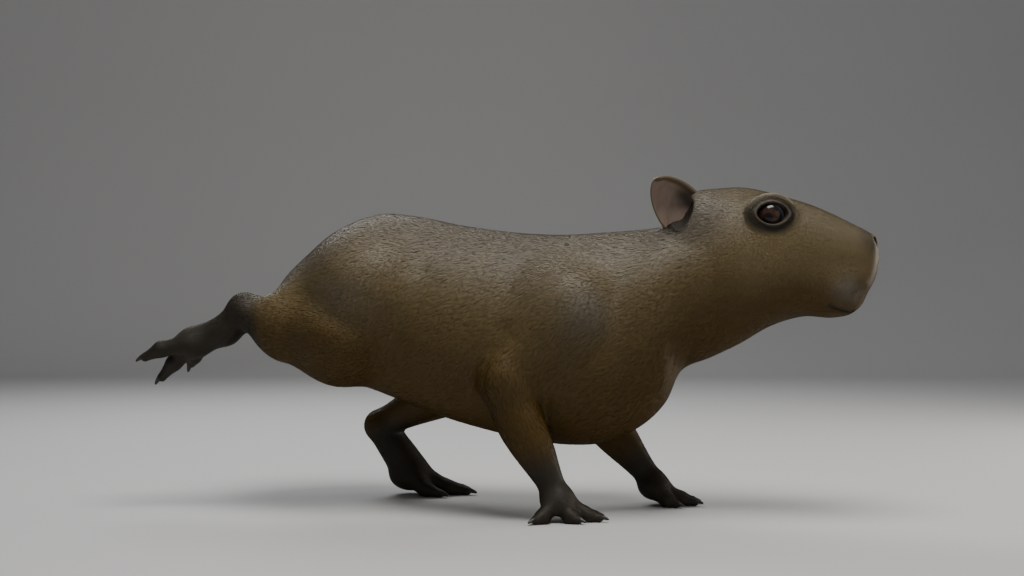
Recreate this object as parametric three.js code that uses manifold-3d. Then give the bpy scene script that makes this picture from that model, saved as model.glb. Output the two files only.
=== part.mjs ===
// A capybara at life size, caught in a long low running stride: three feet are on the ground
// and the right hind leg is stretched out behind.
// Millimetres. +Z is up, +X points to the nose, +Y is the animal's left side.
// The whole coat surface is one smooth function of position, built up from a lofted trunk,
// a few rounded masses on the head and four legs of tapered rounds. Each named piece is meshed
// from that function and parted from its neighbours by thin straight cuts.

import * as THREE from 'three';
import Module from 'manifold-3d';
import { mergeVertices } from 'three/addons/utils/BufferGeometryUtils.js';

const wasm = await Module();
wasm.setup();

// Gap left between pieces that touch
const GAP = 0.3;

// Stations of the trunk and head from rump to nose: place along the body, height of the top
// and bottom lines, half width, squareness of the section (2 is an ellipse), and the level of
// the widest point as a share of the height
const TRUNK = [
  [-504, 398, 350, 20, 2.0, 0.50],
  [-490, 430, 316, 62, 2.0, 0.50],
  [-462, 470, 292, 94, 2.1, 0.50],
  [-415, 514, 272, 121, 2.1, 0.50],
  [-350, 562, 254, 142, 2.1, 0.50],
  [-275, 591, 232, 153, 2.1, 0.48],
  [-195, 586, 202, 158, 2.1, 0.46],
  [-100, 567, 171, 161, 2.1, 0.44],
  [20, 551, 143, 160, 2.1, 0.43],
  [110, 547, 131, 154, 2.1, 0.45],
  [190, 551, 137, 145, 2.1, 0.47],
  [262, 556, 172, 134, 2.1, 0.50],
  [306, 561, 216, 125, 2.1, 0.52],
  [338, 568, 280, 115, 2.1, 0.52],
  [395, 588, 306, 106, 2.2, 0.50],
  [450, 611, 333, 101, 2.3, 0.48],
  [510, 620, 368, 95, 2.4, 0.45],
  [570, 606, 386, 86, 2.5, 0.45],
  [625, 583, 384, 76, 2.6, 0.45],
  [660, 565, 393, 68, 2.7, 0.47],
  [690, 549, 426, 57, 2.7, 0.50],
  [705, 538, 460, 43, 2.5, 0.55],
  [712, 508, 496, 12, 2.0, 0.50],
];

// Rounded masses of the head on the animal's left, mirrored to the right: centre, radii, and
// the width over which each one melts into the rest
const HEAD_MASSES = {
  cranium: { centre: [436, 0, 545], radii: [98, 80, 91], melt: 36 },
  crown: { centre: [374, 36, 572], radii: [56, 42, 53], melt: 40 },
  brow: { centre: [505, 60, 572], radii: [46, 24, 42], melt: 24 },
  cheek: { centre: [470, 56, 470], radii: [80, 46, 84], melt: 40 },
  upperLip: { centre: [645, 34, 446], radii: [44, 36, 44], melt: 26 },
};

// Legs. root and reach say how far from the trunk the soft join ends, melt its width at each
// end of that reach. A bone runs from one point to another with a radius at each end, a swell
// half way, a side-to-side share of that radius, and the melt with the one before.
// A toe has three joints; tips holds the toe radii at those joints.
const LEGS = {
  fore_right: {
    root: [120, -100, 400], reach: 200, melt: [75, 8],
    bones: [
      { from: [125, -98, 400], to: [22, -130, 280], radii: [88, 62], swell: 0, flat: 1, melt: 0 },
      { from: [5, -138, 262], to: [110, -131, 52], radii: [47, 25], swell: 9, flat: 0.84, melt: 30 },
    ],
    palm: { centre: [114, -133, 38], radii: [33, 33, 27] },
    tips: [16.5, 14, 9],
    toes: [
      [[104, -150, 29], [91, -170, 12], [80, -184, 8]],
      [[122, -146, 32], [142, -155, 12], [157, -162, 8]],
      [[130, -130, 36], [168, -131, 12.5], [193, -132, 8]],
      [[122, -114, 34], [156, -102, 12.5], [180, -94, 8]],
    ],
  },
  fore_left: {
    root: [200, 100, 400], reach: 200, melt: [75, 8],
    bones: [
      { from: [220, 94, 390], to: [128, 124, 262], radii: [86, 58], swell: 0, flat: 1, melt: 0 },
      { from: [106, 126, 244], to: [266, 108, 54], radii: [47, 25], swell: 9, flat: 0.84, melt: 30 },
    ],
    palm: { centre: [276, 106, 36], radii: [33, 33, 27] },
    tips: [16.5, 14, 9],
    toes: [
      [[282, 124, 28], [300, 144, 12], [318, 158, 8]],
      [[288, 114, 32], [326, 123, 12.5], [350, 131, 8]],
      [[290, 102, 32], [328, 101, 12.5], [356, 100, 8]],
      [[282, 90, 29], [304, 77, 12], [322, 68, 8]],
    ],
  },
  hind_right: {
    root: [-300, -80, 440], reach: 240, melt: [100, 20],
    bones: [
      { from: [-270, -78, 436], to: [-315, -98, 354], radii: [112, 91], swell: 0, flat: 1, melt: 0 },
      { from: [-322, -100, 346], to: [-426, -105, 362], radii: [93, 71], swell: 0, flat: 0.95, melt: 50 },
      { from: [-462, -108, 375], to: [-521, -111, 397], radii: [46, 35], swell: 0, flat: 0.9, melt: 30 },
      { from: [-520, -111, 394], to: [-562, -111, 357], radii: [36, 29], swell: 0, flat: 0.95, melt: 8 },
      { from: [-560, -111, 357], to: [-625, -112, 334], radii: [29, 30], swell: 0, flat: 0.95, melt: 14 },
    ],
    palm: { centre: [-632, -112, 330], radii: [36, 34, 26] },
    tips: [20, 15.5, 9.5],
    toes: [
      [[-632, -130, 328], [-686, -138, 319], [-720, -140, 303]],
      [[-636, -110, 322], [-672, -108, 291], [-700, -106, 261]],
      [[-628, -92, 320], [-642, -82, 302], [-649, -78, 288]],
    ],
  },
  hind_left: {
    root: [-260, 80, 420], reach: 250, melt: [80, 10],
    bones: [
      { from: [-260, 74, 420], to: [-150, 128, 278], radii: [112, 80], swell: 0, flat: 1, melt: 0 },
      { from: [-140, 134, 240], to: [-318, 150, 148], radii: [58, 31], swell: -1, flat: 0.85, melt: 40 },
      { from: [-316, 151, 144], to: [-258, 158, 60], radii: [33, 38], swell: 0, flat: 0.9, melt: 14 },
    ],
    palm: { centre: [-250, 158, 40], radii: [46, 40, 32] },
    tips: [20, 16.5, 10],
    toes: [
      [[-240, 138, 36], [-210, 126, 15], [-178, 119, 8]],
      [[-226, 158, 42], [-172, 162, 15], [-130, 166, 8]],
      [[-230, 178, 38], [-190, 193, 15], [-150, 206, 8]],
    ],
  },
};
const TOE_MELT = { joint: 8, toes: 10, ankle: 18 };

// Eyes: place on the side of the head, ball radius, how far the ball stands out of the skin,
// and the way the eye looks on the left. The lids are a low mound with its middle the given
// depth under the skin; the opening between them has its half sizes at the front of the ball
// and flares outwards.
const EYE = { x: 507, z: 577, radius: 32, proud: 6 };
const GAZE = new THREE.Vector3(0.22, 0.96, 0.14).normalize();
const LIDS = { radii: [50, 42, 19], depth: 8 };
const LID_OPENING = { halfWidth: 30.5, halfHeight: 21.5, flare: 0.35, from: 4, to: 60, almond: 0.25 };

// Ears: a rounded leaf from its root in the head to its tip, facing outwards and forwards,
// widest at a share of its length, thinner at the rim, and bowed back by the cup. The pit is the
// hollow of the head in front of its root: radii along the length, the width and the facing,
// and the place of its middle along the length and the facing.
const EAR = {
  root: [348, 40, 581], tip: [291, 96, 650], facing: [0.43, 0.9, -0.25], halfWidth: 47.5,
  widest: 0.12, roundness: 1.75, thick: 8, rim: 3.2, cup: 20, cupFrom: 0.1, curl: 6,
};
const EAR_PIT = { radii: [17, 37, 14], along: 21, ahead: -2 };

// Nose and mouth. The mouth line runs from its corner round under the front of the upper lip,
// going back by a power of the share sideways. groove is the radius of a cut line, deepened.
const NOSTRIL = { at: [704, 22, 524], radii: [9, 5, 13], turn: 0.5 };
const MOUTH = { corner: [622, 60, 411], front: [679, 0, 398], power: 2.6, groove: 3.4 };
const LIP_CLEFT = { top: [712, 0, 498], middle: [705, 0, 451], bottom: [684, 0, 404], groove: 2.4 };
const GROOVE_DEPTH = 1.6;

// Nails: root radius on the toes of the fore and hind feet and length past the toe, depth of
// the root in the toe, height over the toe's middle and of the lowest nails over the ground,
// share of the radius left at the tip, width and thickness as shares of the radius, and how far
// the tip bends down as a share of the length
const NAIL = {
  fore: { radius: 6.5, length: 10 }, hind: { radius: 8, length: 12 }, sunk: 9, raise: 2.2, clear: 1.2,
  tip: 0.34, width: 0.82, thickness: 0.8, bend: 0.16,
};

// Colours of the coat, bare skin, horn and eye
const MATERIALS = {
  coat: new THREE.MeshStandardMaterial({ color: 0x7a6543, roughness: 0.85, metalness: 0 }),
  feet: new THREE.MeshStandardMaterial({ color: 0x3b342e, roughness: 0.8, metalness: 0 }),
  ear: new THREE.MeshStandardMaterial({ color: 0x5a4638, roughness: 0.8, metalness: 0 }),
  horn: new THREE.MeshStandardMaterial({ color: 0x1c1816, roughness: 0.45, metalness: 0 }),
  eye: new THREE.MeshStandardMaterial({ color: 0x2a160c, roughness: 0.08, metalness: 0 }),
};

const clamp = THREE.MathUtils.clamp;
const lerp = THREE.MathUtils.lerp;
const vec = (p) => new THREE.Vector3(...p);

// Smooth least of two distances: they melt together over the width k
function melt(a, b, k) {
  const h = Math.max(k - Math.abs(a - b), 0) / Math.max(k, 1e-6);
  return Math.min(a, b) - (h * h * k) / 4;
}

// The stations joined by a smooth curve and read off at fine steps along the body. The curve's
// knots are spaced by the square root of the distance between stations, so that the close
// stations at nose and rump don't make it swing.
function fineStations(stations, count) {
  const knots = [0];
  for (let i = 1; i < stations.length; i++) {
    const [a, b] = [stations[i - 1], stations[i]];
    knots.push(knots[i - 1] + Math.sqrt(Math.hypot(b[0] - a[0], b[1] - a[1], b[2] - a[2])));
  }
  const last = stations.length - 1;
  const slopes = stations.map((row, i) => row.map((value, j) => {
    if (i === 0) return (stations[1][j] - value) / knots[1];
    if (i === last) return (value - stations[last - 1][j]) / (knots[last] - knots[last - 1]);
    const before = knots[i] - knots[i - 1];
    const after = knots[i + 1] - knots[i];
    const rise = (stations[i + 1][j] - value) / after;
    const fall = (value - stations[i - 1][j]) / before;
    return (rise * before + fall * after) / (before + after);
  }));
  const rows = [];
  let i = 0;
  for (let n = 0; n < count; n++) {
    const u = (knots[last] * n) / (count - 1);
    while (i < last - 1 && u > knots[i + 1]) i++;
    const h = knots[i + 1] - knots[i];
    const s = (u - knots[i]) / h;
    const rise = s * s * (3 - 2 * s);
    const start = s * (1 - s) * (1 - s) * h;
    const end = s * s * (s - 1) * h;
    rows.push(stations[i].map((value, j) => (
      lerp(value, stations[i + 1][j], rise) + start * slopes[i][j] + end * slopes[i + 1][j])));
  }
  return rows;
}

const trunkRows = fineStations(TRUNK, 400);

function trunkAt(x) {
  const last = trunkRows.length - 1;
  if (x <= trunkRows[0][0]) return trunkRows[0];
  if (x >= trunkRows[last][0]) return trunkRows[last];
  let low = 0;
  let high = last;
  while (high - low > 1) {
    const middle = (low + high) >> 1;
    if (trunkRows[middle][0] <= x) low = middle;
    else high = middle;
  }
  const t = (x - trunkRows[low][0]) / (trunkRows[high][0] - trunkRows[low][0]);
  return trunkRows[low].map((value, j) => lerp(value, trunkRows[high][j], t));
}

// Distance to the trunk: each section is a squared ellipse whose halves above and below its
// widest point have heights of their own
function trunkDistance(x, y, z) {
  const [, top, bottom, half, square, level] = trunkAt(x);
  const widest = bottom + level * (top - bottom);
  const rise = z - widest;
  const reach = rise > 0 ? top - widest : widest - bottom;
  const share = ((Math.abs(y) / half) ** square + (Math.abs(rise) / reach) ** square) ** (1 / square);
  const radius = Math.hypot(y, rise);
  const side = radius - radius / Math.max(share, 1e-3);
  const first = trunkRows[0][0];
  const end = trunkRows[trunkRows.length - 1][0];
  const past = Math.max(first - x, 0, x - end);
  return past > 0 ? Math.hypot(Math.max(side, 0), past) : side;
}

// Distance to an ellipsoid, true close to its surface
function massDistance(x, y, z, { centre, radii }) {
  const [u, v, w] = [(x - centre[0]) / radii[0], (y - centre[1]) / radii[1], (z - centre[2]) / radii[2]];
  const size = Math.hypot(u, v, w);
  return (size * (size - 1)) / Math.max(Math.hypot(u / radii[0], v / radii[1], w / radii[2]), 1e-9);
}

// Distance to a round limb whose radius eases from one end to the other, with a swell half way
function limbDistance(x, y, z, from, to, radii, swell = 0, flat = 1) {
  const axis = [to[0] - from[0], (to[1] - from[1]) / flat, to[2] - from[2]];
  const off = [x - from[0], (y - from[1]) / flat, z - from[2]];
  const along = (off[0] * axis[0] + off[1] * axis[1] + off[2] * axis[2])
    / (axis[0] ** 2 + axis[1] ** 2 + axis[2] ** 2);
  const t = clamp(along, 0, 1);
  const ease = t * t * (3 - 2 * t);
  const radius = lerp(radii[0], radii[1], ease) + swell * 16 * (t * (1 - t)) ** 2;
  const away = Math.hypot(off[0] - t * axis[0], off[1] - t * axis[1], off[2] - t * axis[2]);
  return ((away - radius) * (flat + 1)) / 2;
}

// Distance to one leg: its bones melted one into the next, then the palm and the toes
function legDistance(x, y, z, leg) {
  let distance = Infinity;
  for (const bone of leg.bones) {
    const next = limbDistance(x, y, z, bone.from, bone.to, bone.radii, bone.swell, bone.flat);
    distance = bone.melt > 0 ? melt(distance, next, bone.melt) : next;
  }
  let foot = massDistance(x, y, z, leg.palm);
  for (const [a, b, c] of leg.toes) {
    const near = limbDistance(x, y, z, a, b, [leg.tips[0], leg.tips[1]]);
    const far = limbDistance(x, y, z, b, c, [leg.tips[1], leg.tips[2]]);
    foot = melt(foot, melt(near, far, TOE_MELT.joint), TOE_MELT.toes);
  }
  return melt(distance, foot, TOE_MELT.ankle);
}

// Box round a leg, outside which the leg can't reach the skin
function legBox(leg) {
  const room = 95;
  const box = new THREE.Box3();
  for (const bone of leg.bones) {
    for (const end of [bone.from, bone.to]) {
      const size = new THREE.Vector3().setScalar(2 * bone.radii[0]);
      box.union(new THREE.Box3().setFromCenterAndSize(vec(end), size));
    }
  }
  for (const toe of leg.toes) for (const joint of toe) box.expandByPoint(vec(joint));
  return box.expandByScalar(room);
}
const legBoxes = Object.fromEntries(Object.entries(LEGS).map(([name, leg]) => [name, legBox(leg)]));

// Distance from any point to the coat surface of the whole animal, negative inside
function skinDistance(x, y, z) {
  let distance = trunkDistance(x, y, z);
  for (const mass of Object.values(HEAD_MASSES)) {
    distance = melt(distance, massDistance(x, mass.centre[1] > 0 ? Math.abs(y) : y, z, mass), mass.melt);
  }
  for (const [name, leg] of Object.entries(LEGS)) {
    const box = legBoxes[name];
    if (x < box.min.x || x > box.max.x || y < box.min.y || y > box.max.y) continue;
    if (z < box.min.z || z > box.max.z) continue;
    const far = Math.hypot(x - leg.root[0], y - leg.root[1], z - leg.root[2]) / leg.reach;
    const width = Math.max(lerp(leg.melt[0], leg.melt[1], far), leg.melt[1]);
    distance = melt(distance, legDistance(x, y, z, leg), width);
  }
  return distance;
}

const slopeStep = 0.5;

// Way in which the distance grows fastest
function skinSlope(p) {
  const h = slopeStep;
  return new THREE.Vector3(
    skinDistance(p.x + h, p.y, p.z) - skinDistance(p.x - h, p.y, p.z),
    skinDistance(p.x, p.y + h, p.z) - skinDistance(p.x, p.y - h, p.z),
    skinDistance(p.x, p.y, p.z + h) - skinDistance(p.x, p.y, p.z - h),
  ).divideScalar(2 * h);
}

// Draw a point onto the coat surface along the slope
function drawToSkin(p, longest) {
  for (let pass = 0; pass < 3; pass++) {
    const slope = skinSlope(p);
    const step = -skinDistance(p.x, p.y, p.z) / Math.max(slope.lengthSq(), 1e-6);
    const move = slope.multiplyScalar(step);
    p.add(move.clampLength(0, longest));
  }
  return p;
}

// Turn a geometry into a solid for joining and cutting
function solid(geometry) {
  const bare = geometry.clone();
  bare.deleteAttribute('normal');
  bare.deleteAttribute('uv');
  const merged = mergeVertices(bare, 1e-3);
  return new wasm.Manifold(new wasm.Mesh({
    numProp: 3,
    vertProperties: new Float32Array(merged.attributes.position.array),
    triVerts: new Uint32Array(merged.index.array),
  }));
}

// Turn a solid back into a geometry, keeping its largest closed surface
function geometryOf(shape) {
  const parts = shape.decompose().sort((a, b) => b.volume() - a.volume());
  const mesh = parts[0].getMesh();
  const geometry = new THREE.BufferGeometry();
  geometry.setAttribute('position', new THREE.BufferAttribute(new Float32Array(mesh.vertProperties), 3));
  geometry.setIndex(new THREE.BufferAttribute(new Uint32Array(mesh.triVerts), 1));
  return geometry;
}

const WAYS = [[1, 0, 0], [0, 1, 0], [0, 0, 1]];

// Points of a grid that fills a box, with the distance to the coat surface at each. The
// outermost points count as outside, so that a mesh made from the grid closes.
function skinGrid(box, cell) {
  const size = box.getSize(new THREE.Vector3()).toArray();
  const [nx, ny, nz] = size.map((length, n) => Math.ceil(length / cell[n]) + 1);
  const place = (i, j, k) => new THREE.Vector3(i * cell[0], j * cell[1], k * cell[2]).add(box.min);
  const index = (i, j, k) => (i * ny + j) * nz + k;
  const values = new Float64Array(nx * ny * nz);
  for (let i = 0; i < nx; i++) {
    for (let j = 0; j < ny; j++) {
      for (let k = 0; k < nz; k++) {
        const rim = i === 0 || j === 0 || k === 0 || i === nx - 1 || j === ny - 1 || k === nz - 1;
        const p = place(i, j, k);
        const distance = skinDistance(p.x, p.y, p.z);
        values[index(i, j, k)] = rim ? Math.max(distance, cell[0] / 2) : distance;
      }
    }
  }
  return { counts: [nx, ny, nz], place, index, values };
}

// Where the corners of a grid square are inside and outside by turns, two sheets of the mesh
// would share one edge there. Its nearest outside corner is counted as inside instead.
function joinCorners({ counts, index, values }) {
  let changed = true;
  while (changed) {
    changed = false;
    for (let i = 0; i < counts[0] - 1; i++) {
      for (let j = 0; j < counts[1] - 1; j++) {
        for (let k = 0; k < counts[2] - 1; k++) {
          for (let n = 0; n < 3; n++) {
            const [u, v] = [WAYS[(n + 1) % 3], WAYS[(n + 2) % 3]];
            if (i + u[0] + v[0] >= counts[0] || j + u[1] + v[1] >= counts[1]) continue;
            const square = [[0, 0], [1, 0], [1, 1], [0, 1]].map(([a, b]) => index(
              i + a * u[0] + b * v[0], j + a * u[1] + b * v[1], k + a * u[2] + b * v[2]));
            const inside = square.map((corner) => values[corner] < 0);
            if (inside[0] !== inside[2] || inside[1] !== inside[3] || inside[0] === inside[1]) continue;
            const outside = square.filter((corner) => values[corner] >= 0);
            outside.sort((a, b) => values[a] - values[b]);
            values[outside[0]] = -1e-3;
            changed = true;
          }
        }
      }
    }
  }
}

// Mesh of the coat surface inside a box: cells of the given size fill it, each cell that the
// surface crosses gets one vertex, drawn onto the surface, and each cell edge that it crosses
// gets one face
function meshSkin(box, cell) {
  const grid = skinGrid(box, cell);
  joinCorners(grid);
  const { counts: [nx, ny, nz], place, index, values } = grid;
  const positions = [];
  const vertexOf = new Map();
  const corners = [];
  for (let n = 0; n < 8; n++) corners.push([n & 1, (n >> 1) & 1, (n >> 2) & 1]);
  const atRim = (i, n) => i === 0 || i === n - 2;
  for (let i = 0; i < nx - 1; i++) {
    for (let j = 0; j < ny - 1; j++) {
      for (let k = 0; k < nz - 1; k++) {
        const middle = new THREE.Vector3();
        let crossings = 0;
        for (const [a, b, c] of corners) {
          for (const [da, db, dc] of WAYS) {
            if (a + da > 1 || b + db > 1 || c + dc > 1) continue;
            const here = values[index(i + a, j + b, k + c)];
            const there = values[index(i + a + da, j + b + db, k + c + dc)];
            if ((here < 0) === (there < 0)) continue;
            const start = place(i + a, j + b, k + c);
            middle.add(start.lerp(place(i + a + da, j + b + db, k + c + dc), here / (here - there)));
            crossings++;
          }
        }
        if (crossings === 0) continue;
        middle.divideScalar(crossings);
        if (!atRim(i, nx) && !atRim(j, ny) && !atRim(k, nz)) drawToSkin(middle, cell[0] / 2);
        vertexOf.set(index(i, j, k), positions.length / 3);
        positions.push(middle.x, middle.y, middle.z);
      }
    }
  }
  const faces = [];
  for (let i = 0; i < nx - 1; i++) {
    for (let j = 0; j < ny - 1; j++) {
      for (let k = 0; k < nz - 1; k++) {
        const inside = values[index(i, j, k)] < 0;
        WAYS.forEach((along, n) => {
          const [right, up] = [WAYS[(n + 1) % 3], WAYS[(n + 2) % 3]];
          if (i * (right[0] + up[0]) + j * (right[1] + up[1]) + k * (right[2] + up[2]) === 0) return;
          if (inside === (values[index(i + along[0], j + along[1], k + along[2])] < 0)) return;
          const ring = [[-1, -1], [0, -1], [0, 0], [-1, 0]].map(([r, u]) => vertexOf.get(index(
            i + r * right[0] + u * up[0], j + r * right[1] + u * up[1], k + r * right[2] + u * up[2])));
          if (!inside) ring.reverse();
          faces.push(ring[0], ring[1], ring[2], ring[0], ring[2], ring[3]);
        });
      }
    }
  }
  const geometry = new THREE.BufferGeometry();
  geometry.setAttribute('position', new THREE.BufferAttribute(new Float32Array(positions), 3));
  geometry.setIndex(faces);
  return geometry;
}

// Closed surface of rings: place(turn, along) gives each point, with turn round the ring and
// along from one end to the other, and each end closes on the middle of its ring
function closedRings(place, around, along) {
  const positions = [];
  const faces = [];
  for (let j = 0; j <= along; j++) {
    for (let i = 0; i < around; i++) positions.push(...place(i / around, j / along).toArray());
  }
  const corner = (i, j) => j * around + (i % around);
  for (let j = 0; j < along; j++) {
    for (let i = 0; i < around; i++) {
      faces.push(corner(i, j), corner(i + 1, j), corner(i + 1, j + 1));
      faces.push(corner(i, j), corner(i + 1, j + 1), corner(i, j + 1));
    }
  }
  for (const [j, turned] of [[0, true], [along, false]]) {
    const middle = new THREE.Vector3();
    for (let i = 0; i < around; i++) middle.add(place(i / around, j / along));
    const centre = positions.length / 3;
    positions.push(...middle.divideScalar(around).toArray());
    for (let i = 0; i < around; i++) {
      if (turned) faces.push(centre, corner(i + 1, j), corner(i, j));
      else faces.push(centre, corner(i, j), corner(i + 1, j));
    }
  }
  const geometry = new THREE.BufferGeometry();
  geometry.setAttribute('position', new THREE.BufferAttribute(new Float32Array(positions), 3));
  geometry.setIndex(faces);
  return geometry;
}

// Frame at a point: forward along a way, with side and up square to it
function frameAlong(way, upward = new THREE.Vector3(0, 0, 1)) {
  const forward = way.clone().normalize();
  const side = new THREE.Vector3().crossVectors(upward, forward).normalize();
  const up = new THREE.Vector3().crossVectors(forward, side);
  return { forward, side, up };
}

// Block that takes one piece out of the animal: a box from one point towards another, with
// its reach to the sides and up and down, and all its faces moved out by grow
function block({ from, to, side, rise }, grow = 0) {
  const [a, b] = [vec(from), vec(to)];
  const { forward, side: across, up } = frameAlong(b.clone().sub(a));
  const length = a.distanceTo(b) + 2 * grow;
  const wide = side[1] - side[0] + 2 * grow;
  const tall = rise[1] - rise[0] + 2 * grow;
  const geometry = new THREE.BoxGeometry(length, wide, tall);
  const centre = a.add(b).divideScalar(2)
    .addScaledVector(across, (side[0] + side[1]) / 2)
    .addScaledVector(up, (rise[0] + rise[1]) / 2);
  geometry.applyMatrix4(new THREE.Matrix4().makeBasis(forward, across, up).setPosition(centre));
  return geometry;
}

// Blocks of the pieces, in the order in which they are taken out: each piece is what its block
// holds and no earlier block has taken. cell is the mesh size along X, Y and Z.
const INNER_FORE = 100;
const INNER_HIND = 66;
const BLOCKS = {
  fore_right_foot: {
    from: [55, -145, 0], to: [225, -145, 0], side: [-60, 60], rise: [0, 56], cell: [12.5, 12, 11],
  },
  fore_left_foot: {
    from: [215, 115, 0], to: [385, 115, 0], side: [-60, 60], rise: [0, 56], cell: [12.5, 12, 11],
  },
  hind_left_foot: {
    from: [-365, 160, 0], to: [-95, 160, 0], side: [-62, 70], rise: [0, 137], cell: [15, 14, 14],
  },
  hind_right_foot: {
    from: [-556, -112, 362], to: [-760, -112, 300], side: [-60, 60], rise: [-70, 70], cell: [14, 13.5, 13.5],
  },
  fore_right_lower: {
    from: [115, -131, 42], to: [18, -137, 236], side: [-75, 31], rise: [-66, 66], cell: [20, 18, 26],
  },
  fore_left_lower: {
    from: [275, 107, 44], to: [118, 125, 230], side: [-27, 75], rise: [-66, 66], cell: [20, 18, 26],
  },
  hind_left_lower: {
    from: [-375, 154, 118], to: [-186, 137, 216], side: [-62, 75], rise: [-74, 66], cell: [24, 18, 21],
  },
  hind_right_lower: {
    from: [-600, -111, 360], to: [-392, -111, 360], side: [-120, 111 - INNER_HIND], rise: [-110, 68],
    cell: [25, 22, 22],
  },
  fore_right_upper: {
    from: [-52, 0, 0], to: [214, 0, 0], side: [-260, -INNER_FORE], rise: [160, 492], cell: [34, 24, 32],
  },
  fore_left_upper: {
    from: [52, 0, 0], to: [314, 0, 0], side: [INNER_FORE - 6, 260], rise: [160, 486], cell: [34, 24, 32],
  },
  hind_right_upper: {
    from: [-430, 0, 0], to: [-165, 0, 0], side: [-260, -INNER_HIND], rise: [200, 545], cell: [36, 26, 32],
  },
  hind_left_upper: {
    from: [-372, 0, 0], to: [-58, 0, 0], side: [INNER_HIND, 260], rise: [160, 536], cell: [36, 26, 32],
  },
  head: {
    from: [338, 0, 465], to: [729, 0, 559], side: [-160, 160], rise: [-230, 230], cell: [22, 18, 19],
  },
  neck: {
    from: [233, 0, 370], to: [460, 0, 439], side: [-220, 220], rise: [-330, 330], cell: [34, 28, 30],
  },
  chest: {
    from: [-60, 0, 340], to: [330, 0, 340], side: [-260, 260], rise: [-260, 260], cell: [40, 31, 31],
  },
  belly: {
    from: [-240, 0, 340], to: [-60, 0, 340], side: [-260, 260], rise: [-260, 300], cell: [40, 31, 31],
  },
  rump: {
    from: [-520, 0, 340], to: [-240, 0, 340], side: [-260, 260], rise: [-260, 300], cell: [34, 30, 30],
  },
};

// Box that holds the whole animal, used to bound the meshes
const WHOLE = new THREE.Box3(vec([-770, -240, -12]), vec([740, 250, 665]));

// One piece of the animal: the coat surface meshed a little past its block, cut to the block,
// less the blocks taken before it
function bodyPiece(name, earlier) {
  const own = block(BLOCKS[name]);
  own.computeBoundingBox();
  const { cell } = BLOCKS[name];
  const room = vec(cell).multiplyScalar(2.5);
  const box = own.boundingBox.clone().expandByVector(room).intersect(WHOLE);
  let shape = solid(meshSkin(box, cell)).intersect(solid(own));
  for (const other of earlier) shape = shape.subtract(solid(block(BLOCKS[other], GAP)));
  return shape;
}

const mirrored = (p, side) => [p[0], p[1] * side, p[2]];

// Point where a line from inside the animal passes out through the coat
function throughSkin(inside, way) {
  let low = 0;
  let high = 300;
  for (let n = 0; n < 30; n++) {
    const middle = (low + high) / 2;
    const p = inside.clone().addScaledVector(way, middle);
    if (skinDistance(p.x, p.y, p.z) < 0) low = middle;
    else high = middle;
  }
  return inside.clone().addScaledVector(way, low);
}

// Eye: a ball set in the side of the head. side is 1 on the left and -1 on the right.
function eyeCentre(side) {
  const skin = throughSkin(vec([EYE.x, 0, EYE.z]), new THREE.Vector3(0, side, 0));
  return skin.add(new THREE.Vector3(0, side * (EYE.proud - EYE.radius), 0));
}

function eyeBall(side, radius) {
  const geometry = new THREE.SphereGeometry(radius, 14, 9);
  geometry.rotateX(Math.PI / 2);
  const centre = eyeCentre(side);
  return geometry.translate(centre.x, centre.y, centre.z);
}

// Directions ahead of, across and up from an eye
function eyeFrame(side) {
  return frameAlong(GAZE.clone().multiply(new THREE.Vector3(1, side, 1)));
}

// An ellipsoid with its radii along three directions
function ellipsoid(centre, radii, directions, around, along) {
  const geometry = new THREE.SphereGeometry(1, around, along);
  geometry.scale(...radii);
  return geometry.applyMatrix4(new THREE.Matrix4().makeBasis(...directions).setPosition(centre));
}

// Lids: a low mound round the eye
function lids(side) {
  const { forward, side: across, up } = eyeFrame(side);
  const under = EYE.radius - EYE.proud - LIDS.depth;
  const centre = eyeCentre(side).addScaledVector(forward, under);
  return ellipsoid(centre, LIDS.radii, [across, up, forward], 15, 9);
}

// Opening between the lids: an almond that widens outwards from the middle of the eye
function lidOpening(side) {
  const centre = eyeCentre(side);
  const { forward, side: across, up } = eyeFrame(side);
  const { halfWidth, halfHeight, flare, from, to, almond } = LID_OPENING;
  return closedRings((turn, along) => {
    const depth = lerp(from, to, along);
    const spread = 1 + flare * (depth / EYE.radius - 1);
    const angle = 2 * Math.PI * turn;
    const lift = Math.sin(angle) * (1 - almond * Math.cos(angle) ** 2);
    return centre.clone().addScaledVector(forward, depth)
      .addScaledVector(across, halfWidth * spread * Math.cos(angle))
      .addScaledVector(up, halfHeight * spread * lift);
  }, 16, 1);
}

// Root and length of an ear, and the directions along it, out of its face and across it
function earFrame(side) {
  const root = vec(mirrored(EAR.root, side));
  const tip = vec(mirrored(EAR.tip, side));
  const rise = tip.clone().sub(root).normalize();
  const outward = vec(mirrored(EAR.facing, side)).projectOnPlane(rise).normalize();
  const across = new THREE.Vector3().crossVectors(outward, rise);
  return { root, length: root.distanceTo(tip), rise, outward, across };
}

// Ear: rings of a thin leaf from root to tip, bowed into a cup that opens outwards and forwards
function earShape(side, grow) {
  const { root, length, rise, outward, across } = earFrame(side);
  const nearTip = 0.995;
  const thinAtSides = 0.8;
  return closedRings((turn, along) => {
    const t = along * nearTip;
    const past = Math.abs(t - EAR.widest) / (1 - EAR.widest);
    const fill = (1 - past ** EAR.roundness) ** (1 / EAR.roundness);
    const angle = 2 * Math.PI * turn;
    const span = Math.cos(angle);
    const half = EAR.halfWidth * fill;
    const reach = (half + grow) * span;
    const thick = lerp(EAR.thick, EAR.rim, Math.max(t, thinAtSides * span * span)) / 2 + grow;
    const bow = (reach / half) ** 2 - 1;
    const hollow = EAR.cup * bow * Math.sin(Math.PI * lerp(EAR.cupFrom, 1, t));
    const curl = EAR.curl * t * t;
    return root.clone()
      .addScaledVector(rise, length * t + grow * (2 * along - 1))
      .addScaledVector(across, reach)
      .addScaledVector(outward, hollow + curl + thick * Math.sin(angle));
  }, 16, 9);
}

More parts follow.
